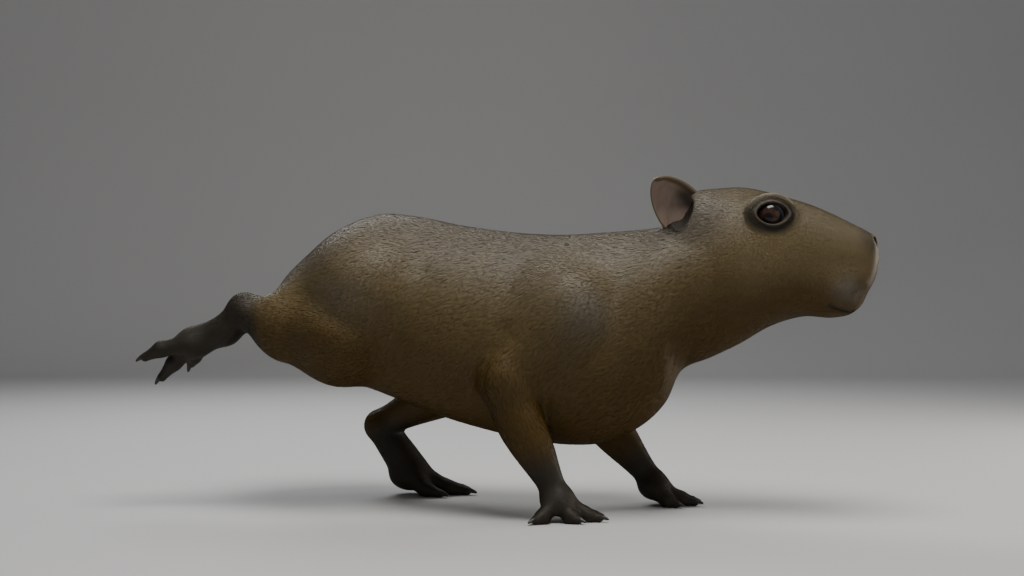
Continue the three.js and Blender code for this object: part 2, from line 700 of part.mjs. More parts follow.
// Hollow of the head in front of an ear's root
function earPit(side) {
  const { root, rise, outward, across } = earFrame(side);
  const centre = root.addScaledVector(rise, EAR_PIT.along).addScaledVector(outward, EAR_PIT.ahead);
  return ellipsoid(centre, EAR_PIT.radii, [rise, across, outward], 12, 7);
}

// Groove drawn on the skin through a few points: a thin tube laid on the coat surface
function groove(points, radius) {
  const steps = 14;
  const through = new THREE.CatmullRomCurve3(points.map(vec));
  const laid = through.getSpacedPoints(2 * steps).map((p) => drawToSkin(p, 40));
  const curve = new THREE.CatmullRomCurve3(laid);
  return closedRings((turn, along) => {
    const centre = curve.getPointAt(along);
    const out = skinSlope(centre).normalize();
    const across = new THREE.Vector3().crossVectors(out, curve.getTangentAt(along)).normalize();
    const size = radius * lerp(0.5, 1, Math.sin(Math.PI * along));
    const angle = 2 * Math.PI * turn;
    return centre.addScaledVector(out, GROOVE_DEPTH * size * Math.sin(angle))
      .addScaledVector(across, size * Math.cos(angle));
  }, 6, steps);
}

function mouthLine() {
  const { corner, front } = MOUTH;
  const share = [1, 0.97, 0.8, 0.45, 0, -0.45, -0.8, -0.97, -1];
  const points = share.map((s) => {
    const back = Math.abs(s) ** MOUTH.power;
    return [lerp(front[0], corner[0], back), corner[1] * s, lerp(front[2], corner[2], back)];
  });
  return groove(points, MOUTH.groove);
}

function lipCleft() {
  return groove([LIP_CLEFT.top, LIP_CLEFT.middle, LIP_CLEFT.bottom], LIP_CLEFT.groove);
}

// Nostril: a short slanting slit
function nostril(side) {
  const geometry = new THREE.SphereGeometry(1, 8, 6);
  geometry.scale(...NOSTRIL.radii);
  geometry.rotateX(-NOSTRIL.turn * side);
  geometry.rotateZ(NOSTRIL.turn * side);
  return geometry.translate(...mirrored(NOSTRIL.at, side));
}

// Piece less the pockets of both ear roots
function lessEars(shape) {
  let left = shape;
  for (const side of [-1, 1]) {
    left = left.subtract(solid(earPit(side))).subtract(solid(earShape(side, GAP)));
  }
  return left;
}

// Head: lids raised over the eyes, the eye sockets, the lid openings, the nostrils, the mouth
// line, the cleft of the upper lip and the pockets of the ear roots
function headPiece(shape) {
  let head = shape;
  for (const side of [-1, 1]) {
    head = head.add(solid(lids(side)));
    head = head.subtract(solid(eyeBall(side, EYE.radius + GAP)));
    head = head.subtract(solid(lidOpening(side)));
    head = head.subtract(solid(nostril(side)));
  }
  return lessEars(head.subtract(solid(mouthLine())).subtract(solid(lipCleft())));
}

// Nail: a blunt claw from inside the toe tip, bent down a little, a bit flat from side to side
function nail(leg, toe, size, grow) {
  const [, joint, tip] = toe.map(vec);
  const ahead = tip.clone().sub(joint).normalize();
  const { forward, side, up } = frameAlong(ahead);
  const start = tip.clone().addScaledVector(forward, leg.tips[2] - NAIL.sunk)
    .addScaledVector(up, NAIL.raise);
  const keel = 0.8;
  return closedRings((turn, along) => {
    const angle = 2 * Math.PI * turn;
    const radius = size.radius * lerp(1, NAIL.tip, along ** 1.6) + grow;
    const drop = NAIL.bend * size.length * along * along;
    const length = (size.length + NAIL.sunk) * along + grow * (2 * along - 1);
    const p = start.clone().addScaledVector(forward, length)
      .addScaledVector(side, NAIL.width * radius * Math.cos(angle))
      .addScaledVector(up, NAIL.thickness * radius * Math.sin(angle) - drop);
    const lowest = NAIL.clear - grow + keel * (1 + Math.sin(angle));
    return p.setZ(Math.max(p.z, lowest));
  }, 6, 3);
}

function nailNames(name) {
  return LEGS[name].toes.map((toe, i) => `${name}_nail_${i + 1}`);
}

// All the pieces, by name
function makePieces() {
  const pieces = {};
  const taken = [];
  for (const name of Object.keys(BLOCKS)) {
    pieces[name] = bodyPiece(name, taken);
    taken.push(name);
  }
  pieces.head = headPiece(pieces.head);
  pieces.neck = lessEars(pieces.neck);
  for (const [name, leg] of Object.entries(LEGS)) {
    const size = name.startsWith('fore') ? NAIL.fore : NAIL.hind;
    const foot = `${name}_foot`;
    leg.toes.forEach((toe, i) => {
      pieces[foot] = pieces[foot].subtract(solid(nail(leg, toe, size, GAP)));
      pieces[nailNames(name)[i]] = solid(nail(leg, toe, size, 0));
    });
  }
  for (const [word, side] of [['left', 1], ['right', -1]]) {
    pieces[`ear_${word}`] = solid(earShape(side, 0));
    pieces[`eye_${word}`] = solid(eyeBall(side, EYE.radius));
  }
  return pieces;
}

function materialOf(name) {
  if (name.includes('nail')) return MATERIALS.horn;
  if (name.startsWith('eye')) return MATERIALS.eye;
  if (name.startsWith('ear')) return MATERIALS.ear;
  return name.endsWith('foot') ? MATERIALS.feet : MATERIALS.coat;
}

const capybara = new THREE.Group();
for (const [name, shape] of Object.entries(makePieces())) {
  const mesh = new THREE.Mesh(geometryOf(shape), materialOf(name));
  mesh.name = name;
  capybara.add(mesh);
}

// The ground is the height zero plane, and the origin lies under the middle of the animal
const bounds = new THREE.Box3().setFromObject(capybara);
const middle = bounds.getCenter(new THREE.Vector3());
capybara.position.set(-middle.x, -middle.y, 0);

export default capybara;
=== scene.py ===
"""Capybara in a long low stride: skin, coat, ears, eyes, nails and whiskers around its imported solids."""

import bmesh
import bpy
import numpy as np
from bpy.props import FloatProperty, FloatVectorProperty, IntProperty, PointerProperty
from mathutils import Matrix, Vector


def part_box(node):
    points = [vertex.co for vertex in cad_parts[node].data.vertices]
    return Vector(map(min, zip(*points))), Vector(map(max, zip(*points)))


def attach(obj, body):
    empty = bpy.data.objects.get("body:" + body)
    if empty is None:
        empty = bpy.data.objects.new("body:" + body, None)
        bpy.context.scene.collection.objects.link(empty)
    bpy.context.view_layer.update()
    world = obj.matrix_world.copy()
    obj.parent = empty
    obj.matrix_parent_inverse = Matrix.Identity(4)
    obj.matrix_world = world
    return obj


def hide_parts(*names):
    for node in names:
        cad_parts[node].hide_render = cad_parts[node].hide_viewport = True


bl_info = {
    "name": "Capybara Dresser",
    "version": (1, 0, 0),
    "blender": (4, 5, 0),
    "location": "3D View > Sidebar > Capybara",
    "description": "Builds the skin, coat, ears, eyes, nails and whiskers of a capybara, and its stage",
    "category": "Add Mesh",
}

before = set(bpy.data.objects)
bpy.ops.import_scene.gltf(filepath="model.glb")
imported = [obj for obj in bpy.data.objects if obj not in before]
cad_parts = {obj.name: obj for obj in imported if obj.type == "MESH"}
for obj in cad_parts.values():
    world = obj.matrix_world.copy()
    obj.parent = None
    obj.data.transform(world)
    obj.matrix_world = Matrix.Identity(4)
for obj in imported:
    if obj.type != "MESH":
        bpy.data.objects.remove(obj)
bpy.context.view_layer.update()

# Sizes are in millimetres in the animal's own axes: +X to the nose, +Y to its left, +Z up from
# the ground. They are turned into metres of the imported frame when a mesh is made.
MM = 0.001

# Trunk, neck and head: x, top of the back, underside, half width, squareness of the section,
# and the level of the widest point as a share of the height
TRUNK = np.array([
    [-504, 398, 350, 20, 2.0, 0.50],
    [-490, 430, 316, 62, 2.0, 0.50],
    [-462, 470, 292, 94, 2.1, 0.50],
    [-415, 514, 272, 121, 2.1, 0.50],
    [-350, 562, 254, 142, 2.1, 0.50],
    [-275, 591, 232, 153, 2.1, 0.48],
    [-195, 586, 202, 158, 2.1, 0.46],
    [-100, 567, 171, 161, 2.1, 0.44],
    [20, 551, 143, 160, 2.1, 0.43],
    [110, 547, 131, 154, 2.1, 0.45],
    [190, 551, 137, 145, 2.1, 0.47],
    [262, 556, 172, 134, 2.1, 0.50],
    [306, 561, 216, 125, 2.1, 0.52],
    [338, 568, 280, 115, 2.1, 0.52],
    [395, 588, 306, 106, 2.2, 0.50],
    [450, 611, 333, 101, 2.3, 0.48],
    [510, 620, 368, 95, 2.4, 0.45],
    [570, 606, 386, 86, 2.5, 0.45],
    [625, 583, 384, 76, 2.6, 0.45],
    [660, 565, 393, 68, 2.7, 0.47],
    [690, 549, 426, 57, 2.7, 0.50],
    [705, 538, 460, 43, 2.5, 0.55],
    [712, 508, 496, 12, 2.0, 0.50],
])

# Rounded masses of the head, alike on both sides: centre, radii, melting width
HEAD_MASSES = (
    ((436, 0, 545), (98, 80, 91), 36),
    ((374, 36, 572), (56, 42, 53), 40),
    ((505, 60, 572), (46, 24, 42), 24),
    ((470, 56, 470), (80, 46, 84), 40),
    ((645, 34, 446), (44, 36, 44), 26),
)

# Legs. Each bone is: from, to, radius at both ends, swell half way, flatness, melting width.
# Each toe is its joint, knuckle and tip. melt is the width in which the leg melts into the body
# at its root and past its reach, and dark the distances from the foot between which its dark
# colour fades.
LEGS = {
    "fore_right": {
        "root": (120, -100, 400), "reach": 200, "melt": (75, 8), "dark": (28, 116),
        "bones": (
            ((125, -98, 400), (22, -130, 280), (88, 62), 0, 1, 0),
            ((5, -138, 262), (110, -131, 52), (47, 25), 9, 0.84, 30),
        ),
        "palm": ((114, -133, 38), (33, 33, 27)), "tips": (16.5, 14, 9),
        "toes": (
            ((104, -150, 29), (91, -170, 12), (80, -184, 8)),
            ((122, -146, 32), (142, -155, 12), (157, -162, 8)),
            ((130, -130, 36), (168, -131, 12.5), (193, -132, 8)),
            ((122, -114, 34), (156, -102, 12.5), (180, -94, 8)),
        ),
    },
    "fore_left": {
        "root": (200, 100, 400), "reach": 200, "melt": (75, 8), "dark": (28, 116),
        "bones": (
            ((220, 94, 390), (128, 124, 262), (86, 58), 0, 1, 0),
            ((106, 126, 244), (266, 108, 54), (47, 25), 9, 0.84, 30),
        ),
        "palm": ((276, 106, 36), (33, 33, 27)), "tips": (16.5, 14, 9),
        "toes": (
            ((282, 124, 28), (300, 144, 12), (318, 158, 8)),
            ((288, 114, 32), (326, 123, 12.5), (350, 131, 8)),
            ((290, 102, 32), (328, 101, 12.5), (356, 100, 8)),
            ((282, 90, 29), (304, 77, 12), (322, 68, 8)),
        ),
    },
    "hind_right": {
        "root": (-300, -80, 440), "reach": 240, "melt": (100, 20), "dark": (96, 160),
        "bones": (
            ((-270, -78, 436), (-315, -98, 354), (112, 91), 0, 1, 0),
            ((-322, -100, 346), (-426, -105, 362), (93, 71), 0, 0.95, 50),
            ((-462, -108, 375), (-521, -111, 397), (46, 35), 0, 0.9, 30),
            ((-520, -111, 394), (-562, -111, 357), (36, 29), 0, 0.95, 8),
            ((-560, -111, 357), (-625, -112, 334), (29, 30), 0, 0.95, 14),
        ),
        "palm": ((-632, -112, 330), (36, 34, 26)), "tips": (20, 15.5, 9.5),
        "toes": (
            ((-632, -130, 328), (-686, -138, 319), (-720, -140, 303)),
            ((-636, -110, 322), (-672, -108, 291), (-700, -106, 261)),
            ((-628, -92, 320), (-642, -82, 302), (-649, -78, 288)),
        ),
    },
    "hind_left": {
        "root": (-260, 80, 420), "reach": 250, "melt": (80, 10), "dark": (70, 130),
        "bones": (
            ((-260, 74, 420), (-150, 128, 278), (112, 80), 0, 1, 0),
            ((-140, 134, 240), (-318, 150, 148), (58, 31), -1, 0.85, 40),
            ((-316, 151, 144), (-258, 158, 60), (33, 38), 0, 0.9, 14),
        ),
        "palm": ((-250, 158, 40), (46, 40, 32)), "tips": (20, 16.5, 10),
        "toes": (
            ((-240, 138, 36), (-210, 126, 15), (-178, 119, 8)),
            ((-226, 158, 42), (-172, 162, 15), (-130, 166, 8)),
            ((-230, 178, 38), (-190, 193, 15), (-150, 206, 8)),
        ),
    },
}
LEG_NAMES = tuple(LEGS)
SIDES = (("left", 1), ("right", -1))

# Painted highlights: paler, greyer places of the shoulder, rump and upper lip: centre and radius
HIGHLIGHT_SPOTS = (((170, 150, 412), 50), ((-280, 140, 436), 54), ((650, 66, 440), 24))
TOE_MELT = {"joint": 8, "toes": 10, "ankle": 18}

# Level of the soles and the lowest hair over the ground
SOLE = 0.3

# Eyes, ears, nostrils and mouth. The ear runs from its root on the head to its tip.
EYE_X = 507
EYE_Z = 577
EYE_RADIUS = 32
GAZE = np.array([0.22, 0.96, 0.14])
LID_HALF = (30.5, 21.5)
LID_FLARE = 0.35
LID_MOUND = (48.6, 40.6, 17.8)
LID_AHEAD = 18
EYE_RING = (46, 37)
EAR_ROOT = np.array([348.0, 40.0, 581.0])
EAR_TIP = np.array([291.0, 96.0, 650.0])
EAR_FACING = np.array([0.43, 0.9, -0.25])
EAR_HALF = 47.5
EAR_WIDEST = 0.12
EAR_ROUNDNESS = 1.75
EAR_CUP = 20
EAR_CURL = 6
EAR_THICK = (8, 3.2)
EAR_PIT = (16, 36, 13)
EAR_PIT_UP = 21
EAR_PIT_IN = 2
EAR_GAP = np.array([342.0, 72.0, 589.0])
EAR_GAP_RADII = (36, 20, 32)
EAR_BORDER = np.array([-0.31, 0.0, -0.95])
NOSTRIL = np.array([704.0, 22.0, 524.0])
NOSTRIL_TURN = np.array([[0.72, 0.68, 0.12], [-0.69, 0.70, 0.18], [0.04, -0.21, 0.98]])
NOSTRIL_WING = ((-2, 5, 0), (8, 12, 17))
NOSTRIL_HOLE = ((3, 7.5, 0), (15, 5.5, 11.5))
MOUTH_CORNER = (622, 60, 411)
MOUTH_FRONT = (679, 0, 398)
CLEFT = ((712, 0, 498), (705, 0, 451), (684, 0, 404))

# Places along the body from which the head's and the face's own forms are worked out
HEAD_FROM = 290
FACE_FROM = 440

# Farthest from its bones and toes that a leg shapes the skin, and from its toes that a foot
# marks the coat
LEG_REACH = 95
FOOT_REACH = 160

# Depth of the coat, share of a tuft's length at which it is widest, and its length off the trunk
COAT_DEEP = {"trunk": 3.6, "leg": 2.0, "foot": 1.0, "eye": 0.9, "nose": 0.8}
TUFT_MIDDLE = 0.4
TUFT_LONG = {"leg": 13, "foot": 6, "eye": 3.8, "crease": 5}

# Nails: radius at the root and length past the toe, then how deep all of them are sunk, how far
# they stay above the ground, and how much of the radius is left at the tip
NAIL_SIZES = {"fore": (6.5, 10), "hind": (8, 12)}
NAIL_SUNK = 9
NAIL_CLEAR = 1.2
NAIL_TAPER = 0.34

# Whiskers: seat of the first, steps to the next column and row, and rows in all
WHISKER_START = np.array([662.0, 60.0, 500.0])
WHISKER_COLUMN = (-11, 0, 0)
WHISKER_ROW = (3, 0, -15)
WHISKER_ROWS = 5

# Height in metres at which the lights point
BODY_MIDDLE = 0.35

# Seed of every series of random numbers
SEED = 41


def size_of(v):
    """Length of each vector."""
    return np.linalg.norm(v, axis=-1)


def unit(v):
    """Vectors made one long."""
    v = np.asarray(v, float)
    return v / np.maximum(size_of(v), 1e-9)[..., None]


def eased(value, target, share):
    """Value moved towards a target by a share of the way."""
    return value + (target - value) * share


def ramp(x, start, end):
    """Smooth step from 0 at start to 1 at end: 3t^2 - 2t^3 of the clamped share t."""
    t = np.clip((x - start) / (end - start), 0, 1)
    return t * t * (3 - 2 * t)


def hump(x, middle, width):
    """Bell curve: e to the minus ((x - middle) / width) squared."""
    return np.exp(-(((x - middle) / width) ** 2))


def placed(start, *pairs):
    """Start plus directions, each times the amounts that are given with it."""
    for way, amounts in pairs:
        start = start + way * np.asarray(amounts)[..., None]
    return start


# Middles of the two packed eyes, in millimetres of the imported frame. They say where the animal's
# own axes lie in it.
LEFT_EYE, RIGHT_EYE = [np.mean(np.array(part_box(name)), axis=0) / MM for name in ("eye_left", "eye_right")]
SHIFT = np.array([(LEFT_EYE[0] + RIGHT_EYE[0]) / 2 - EYE_X, (LEFT_EYE[1] + RIGHT_EYE[1]) / 2, 0])
EYE = np.array([EYE_X, (LEFT_EYE[1] - RIGHT_EYE[1]) / 2, EYE_Z])


# The animal's form


def fine_stations(rows, count=400):
    """Smooth curve through the trunk's stations, read off at count places. Between two stations
    it is the cubic with their values and slopes, over knots spaced by the square root of the
    distance between them."""
    spacing = np.sqrt(np.linalg.norm(np.diff(rows[:, :3], axis=0), axis=1))
    knots = np.concatenate([[0], np.cumsum(spacing)])
    slopes = np.gradient(rows, knots, axis=0)
    u = np.linspace(0, knots[-1], count)
    i = np.clip(np.searchsorted(knots, u, side="right") - 1, 0, len(rows) - 2)
    h = (knots[i + 1] - knots[i])[:, None]
    s = (u - knots[i])[:, None] / h
    rise = s * s * (3 - 2 * s)
    start = s * (1 - s) ** 2 * h
    end = s * s * (s - 1) * h
    return rows[i] * (1 - rise) + rows[i + 1] * rise + start * slopes[i] + end * slopes[i + 1]


TRUNK_FINE = fine_stations(TRUNK)


def trunk_at(x, column):
    """One column of the trunk's curve at the places x."""
    return np.interp(x, TRUNK_FINE[:, 0], TRUNK_FINE[:, column])


def melt(a, b, width):
    """Smooth least of two distances, which melt together over the width."""
    h = np.maximum(width - np.abs(a - b), 0) / width
    return np.minimum(a, b) - h * h * width / 4


def carve(a, b, width):
    """Distance a with the solid of distance b cut away, the edge rounded over the width."""
    return -melt(-a, b, width)


def trunk_distance(p):
    """Distance to the trunk: each section is a squared ellipse whose halves above and below its
    widest point have heights of their own."""
    x = p[..., 0]
    top, bottom, half, square, level = (trunk_at(x, n) for n in range(1, 6))
    widest = bottom + level * (top - bottom)
    rise = p[..., 2] - widest
    reach = np.where(rise > 0, top - widest, widest - bottom)
    share = ((np.abs(p[..., 1]) / half) ** square + (np.abs(rise) / reach) ** square) ** (1 / square)
    radius = np.hypot(p[..., 1], rise)
    side = radius - radius / np.maximum(share, 1e-3)
    past = np.maximum(TRUNK_FINE[0, 0] - x, 0) + np.maximum(x - TRUNK_FINE[-1, 0], 0)
    return np.where(past > 0, np.hypot(np.maximum(side, 0), past), side)


def mass_distance(p, centre, radii):
    """Distance to an ellipsoid, true close to its surface."""
    q = (p - centre) / radii
    size = size_of(q)
    return size * (size - 1) / np.maximum(size_of(q / radii), 1e-9)


def limb_share(p, start, end, flat=1):
    """Share of the way from start to end at which each point lies, and its distance from the
    line, with sideways distances stretched by the limb's flatness."""
    stretch = np.array([1, 1 / flat, 1])
    a = start * stretch
    along = end * stretch - a
    off = p * stretch - a
    t = np.clip(off @ along / (along @ along), 0, 1)
    return t, size_of(off - t[..., None] * along)


def limb_distance(p, start, end, radii, swell=0, flat=1):
    """Distance to a round limb whose radius eases from one end to the other, with a swell half
    way."""
    t, away = limb_share(p, start, end, flat)
    radius = eased(*radii, ramp(t, 0, 1)) + swell * 16 * (t * (1 - t)) ** 2
    return (away - radius) * (flat + 1) / 2


def foot_distance(p, leg):
    """Distance to a palm and its toes."""
    foot = mass_distance(p, *leg["palm"])
    tips = leg["tips"]
    for joint, knuckle, tip in leg["toes"]:
        toe = melt(limb_distance(p, joint, knuckle, tips[:2]), limb_distance(p, knuckle, tip, tips[1:]),
                   TOE_MELT["joint"])
        foot = melt(foot, toe, TOE_MELT["toes"])
    return foot


def leg_distance(p, leg):
    """Distance to one leg: its bones melted one into the next, then its foot."""
    distance = None
    for start, end, radii, swell, flat, width in leg["bones"]:
        bone = limb_distance(p, start, end, radii, swell, flat)
        distance = bone if distance is None else melt(distance, bone, width)
    return melt(distance, foot_distance(p, leg), TOE_MELT["ankle"])


def leg_room(leg):
    """Lowest and highest corner of the box outside which a leg can't reach the skin."""
    ends = [(point, bone[2][0]) for bone in leg["bones"] for point in bone[:2]]
    ends += [(point, 0) for toe in leg["toes"] for point in toe]
    points = np.array([point for point, _ in ends], float)
    sizes = np.array([size for _, size in ends], float)[:, None]
    return (points - sizes).min(0) - LEG_REACH, (points + sizes).max(0) + LEG_REACH


LEG_ROOMS = {name: leg_room(leg) for name, leg in LEGS.items()}


def within(p, low, high):
    """Which points lie in the box between two corners."""
    return np.all((p > low) & (p < high), axis=-1)


def mirrored(p):
    """The points with their sideways place made positive."""
    return np.concatenate([p[..., :1], np.abs(p[..., 1:2]), p[..., 2:]], -1)


def away_from(p, place):
    """Distance of each point from a place on its own side of the animal."""
    return size_of(mirrored(p) - place)


def coat_distance(p):
    """Distance to the outside of the coat, negative inside: trunk, masses of the head and legs
    melted together."""
    distance = trunk_distance(p)
    for centre, radii, width in HEAD_MASSES:
        distance = melt(distance, mass_distance(mirrored(p), centre, radii), width)
    for name, leg in LEGS.items():
        near = within(p, *LEG_ROOMS[name])
        if near.any():
            q = p[near]
            far = size_of(q - leg["root"]) / leg["reach"]
            width = np.maximum(eased(*leg["melt"], far), leg["melt"][1])
            distance[near] = melt(distance[near], leg_distance(q, leg), width)
    return distance


def nearest_foot(p):
    """Distance to the nearest foot and the number of its leg, or a very great distance for the
    points that are out of reach of all feet."""
    nearest = np.full(p.shape[:-1], 1e9)
    which = np.zeros(p.shape[:-1], int)
    for n, leg in enumerate(LEGS.values()):
        points = np.reshape(leg["toes"], (-1, 3))
        near = within(p, points.min(0) - FOOT_REACH, points.max(0) + FOOT_REACH)
        if near.any():
            distance = foot_distance(p[near], leg)
            closer = distance < nearest[near]
            nearest[near] = np.where(closer, distance, nearest[near])
            which[near] = np.where(closer, n, which[near])
    return nearest, which


def line_distance(p, points):
    """Distance to a line through a few points."""
    nearest = np.full(p.shape[:-1], 1e9)
    for start, end in zip(points[:-1], points[1:]):
        nearest = np.minimum(nearest, limb_share(p, start, end)[1])
    return nearest


def coat_depth(p):
    """Depth of the coat in millimetres: deepest on the trunk, thin on the face, thinner still
    round the eyes and the nose, and down the legs to the feet."""
    x = p[..., 0]
    off = np.maximum(trunk_distance(p), 0)
    depth = COAT_DEEP["trunk"] - 1.6 * ramp(x, 350, 450) - 0.7 * ramp(x, 560, 670)
    depth = depth - (depth - COAT_DEEP["leg"]) * ramp(off, 12, 95) * (1 - ramp(x, 330, 380))
    depth = eased(depth, COAT_DEEP["foot"], 1 - ramp(nearest_foot(p)[0], 8, 75))
    depth = eased(depth, COAT_DEEP["eye"], 1 - ramp(away_from(p, EYE), 34, 66))
    return eased(depth, COAT_DEEP["nose"], 1 - ramp(away_from(p, NOSTRIL), 18, 46))


def eye_axes():
    """Forward, across and up of the left eye's gaze."""
    forward = unit(GAZE)
    across = unit(np.cross([0, 0, 1], forward))
    return forward, across, np.cross(forward, across)


def eye_side(p):
    """Places across and up from the nearer eye, seen along its gaze, and ahead of its middle."""
    forward, across, up = eye_axes()
    q = mirrored(p) - EYE
    return q @ across, q @ up, q @ forward


def lid_opening(p):
    """Distance to the almond opening between the lids, which widens outwards from the middle of
    the eye: |u/a|^2 + |v/b|^2 = 1 in the plane across the gaze, b smaller towards the corners."""
    across, up, ahead = eye_side(p)
    spread = 1 + LID_FLARE * (ahead / EYE_RADIUS - 1)
    u = across / (LID_HALF[0] * spread)
    lift = 1 - 0.1 * np.minimum(u * u, 1)
    v = up / (LID_HALF[1] * spread * lift)
    inside = (np.sqrt(u * u + v * v) - 1) * LID_HALF[1] * spread
    return np.maximum(inside, 6 - ahead)


def mouth_points(count=13):
    """Points of the mouth line from its right corner round under the lip to its left corner,
    backwards by the 2.6th power of the share sideways."""
    share = np.sin(np.linspace(-1, 1, count) * np.pi / 2)
    points = eased(np.array(MOUTH_FRONT, float), np.array(MOUTH_CORNER), (np.abs(share) ** 2.6)[:, None])
    points[:, 1] = MOUTH_CORNER[1] * share
    return points


def slope(form, p, step=0.5):
    """Way in which a distance grows, by differences over one step each way."""
    grown = np.empty_like(p)
    for n in range(3):
        move = np.zeros(3)
        move[n] = step
        grown[..., n] = (form(p + move) - form(p - move)) / (2 * step)
    return grown


def draw_to(p, form, longest, level=0.0, passes=3):
    """Points moved along the slope of a distance to where it has the level, by Newton's rule."""
    for _ in range(passes):
        way = slope(form, p)
        step = (level - form(p)) / np.maximum((way ** 2).sum(-1), 1e-6)
        move = way * step[..., None]
        length = size_of(move)[..., None]
        p = p + move * np.minimum(length, longest) / np.maximum(length, 1e-9)
    return p


def on_coat(points):
    """Points drawn onto the outside of the coat from up to 40 mm away."""
    return draw_to(np.array(points, float), coat_distance, 40)


def both_sides(line, width, depth):
    """A valley on the right side and the same one on the left."""
    return (line, width, depth), ([(x, -y, z) for x, y, z in line], width, depth)


MOUTH_LINE = on_coat(mouth_points())
CLEFT_LINE = on_coat(CLEFT)

# Valleys between the muscles and folds of the skin, and swellings where the depth is negative:
# line, half width, depth
VALLEYS = (
    (((44, -150, 344), (4, -155, 302), (-17, -158, 255), (-10, -158, 205), (10, -150, 166)), 7, 6.5),
    (((26, -150, 352), (-16, -155, 305), (-38, -158, 255), (-30, -158, 205)), 20, 6.0),
    (((96, -138, 226), (104, -128, 184), (108, -114, 150)), 11, 4.5),
    (((244, -110, 505), (240, -130, 450), (228, -140, 390), (212, -138, 330)), 30, 3.4),
    (((64, -150, 400), (56, -155, 375), (44, -155, 344)), 20, 3.0),
    (((166, -150, 428), (156, -150, 392)), 42, -4.0),
    (((145, 150, 326), (105, 155, 284), (84, 158, 237), (91, 158, 187)), 7, 6.5),
    (((127, 150, 334), (85, 155, 287), (63, 158, 237)), 20, 6.0),
    (((310, 110, 500), (300, 130, 450), (290, 140, 390), (275, 138, 330)), 30, 3.4),
    (((252, 150, 428), (240, 150, 392)), 42, -4.0),
    (((-165, -120, 530), (-172, -150, 455), (-190, -155, 385), (-220, -150, 320)), 32, 4.5),
    (((-359, -120, 406), (-330, -140, 390), (-290, -150, 366)), 24, 5.0),
    (((-290, -140, 450), (-300, -130, 480)), 40, -3.0),
    (((-150, 120, 530), (-120, 150, 440), (-90, 155, 350), (-70, 150, 280)), 32, 4.5),
    *both_sides(((702, 0, 432), (694, -30, 430), (676, -54, 426)), 20, 6.0),
    *both_sides(((655, -60, 437), (640, -62, 437)), 17, -2.8),
    *both_sides(((392, -60, 330), (398, -96, 380), (402, -108, 440), (396, -110, 500)), 14, 1.4),
    *both_sides(((352, -50, 300), (360, -92, 350), (362, -112, 420)), 14, 1.2),
)
VALLEY_LINES = [on_coat(line) for line, _, _ in VALLEYS]

# Half width under which a valley is a sharp crease, where the hair is short
SHARP_CREASE = 12


def valley_depth(p):
    """How deep the valleys lie at each point: a bell curve of the distance to each line."""
    depth = np.zeros(p.shape[:-1])
    for line, (_, width, deep) in zip(VALLEY_LINES, VALLEYS):
        reach = 2.6 * width
        near = within(p, line.min(0) - reach, line.max(0) + reach)
        if near.any():
            depth[near] += deep * hump(line_distance(p[near], line), 0, width)
    return depth


def crease_nearness(p):
    """1 in the sharp creases of the skin, falling to 0 beside them."""
    near = np.zeros(p.shape[:-1])
    for line, (_, width, deep) in zip(VALLEY_LINES, VALLEYS):
        if width < SHARP_CREASE and deep > 0:
            near = np.maximum(near, hump(line_distance(p, line), 0, 1.9 * width))
    return near


def lid_mound(p):
    """Distance to the low mound of the lids, an ellipsoid round the eye."""
    return mass_distance(np.stack(eye_side(p), -1), (0, 0, LID_AHEAD), LID_MOUND)


def ear_pit(p):
    """Distance to the hollow of the head in front of an ear: an ellipsoid at its root, and one
    behind the border where the cup's front edge meets the head."""
    rise, outward, across = ear_axes()
    q = mirrored(p) - EAR_ROOT - rise * EAR_PIT_UP + outward * EAR_PIT_IN
    pit = mass_distance(np.stack([q @ rise, q @ across, q @ outward], -1), (0, 0, 0), EAR_PIT)
    q = mirrored(p) - EAR_GAP
    along = unit(EAR_BORDER)
    ahead = np.cross((0, 1, 0), along)
    gap = mass_distance(np.stack([q @ along, q @ ahead, q[..., 1]], -1), (0, 0, 0), EAR_GAP_RADII)
    return np.minimum(pit, gap)


def ear_axes(side=1):
    """Directions along an ear, out of its face and across it."""
    rise = unit((EAR_TIP - EAR_ROOT) * (1, side, 1))
    outward = EAR_FACING * (1, side, 1)
    outward = unit(outward - (outward @ rise) * rise)
    return rise, outward, np.cross(outward, rise)


def fur_distance(p):
    """Distance to the outside of the fur: the coat's outside with the valleys, the mounds of the
    lids and the pits of the ears."""
    distance = coat_distance(p) + valley_depth(p)
    head = p[..., 0] > HEAD_FROM
    if head.any():
        q = p[head]
        d = melt(distance[head], lid_mound(q), 9)
        distance[head] = carve(d, ear_pit(q), 6)
    return distance


def lid_folds(p):
    """Relief of the lids, outwards above zero: a thin roll along the opening, a groove under the
    lower one, a smooth hollow over the upper one, and the ridge of the brow above its front."""
    opening = lid_opening(p)
    across, up, ahead = eye_side(p)
    front = ramp(ahead, 8, 20)
    upper = ramp(up, -2, 12)
    roll = 1.7 * (1 - upper) * hump(opening, 2.4, 2.2)
    groove = 2.8 * (1 - upper) * hump(opening, 9, 3.6)
    hollow = 1.8 * upper * hump(opening, 7, 7)
    brow = (1.0 + 2.4 * hump(across, -16, 22)) * upper * hump(opening, 19, 4.5)
    return (roll - groove - hollow + brow) * front


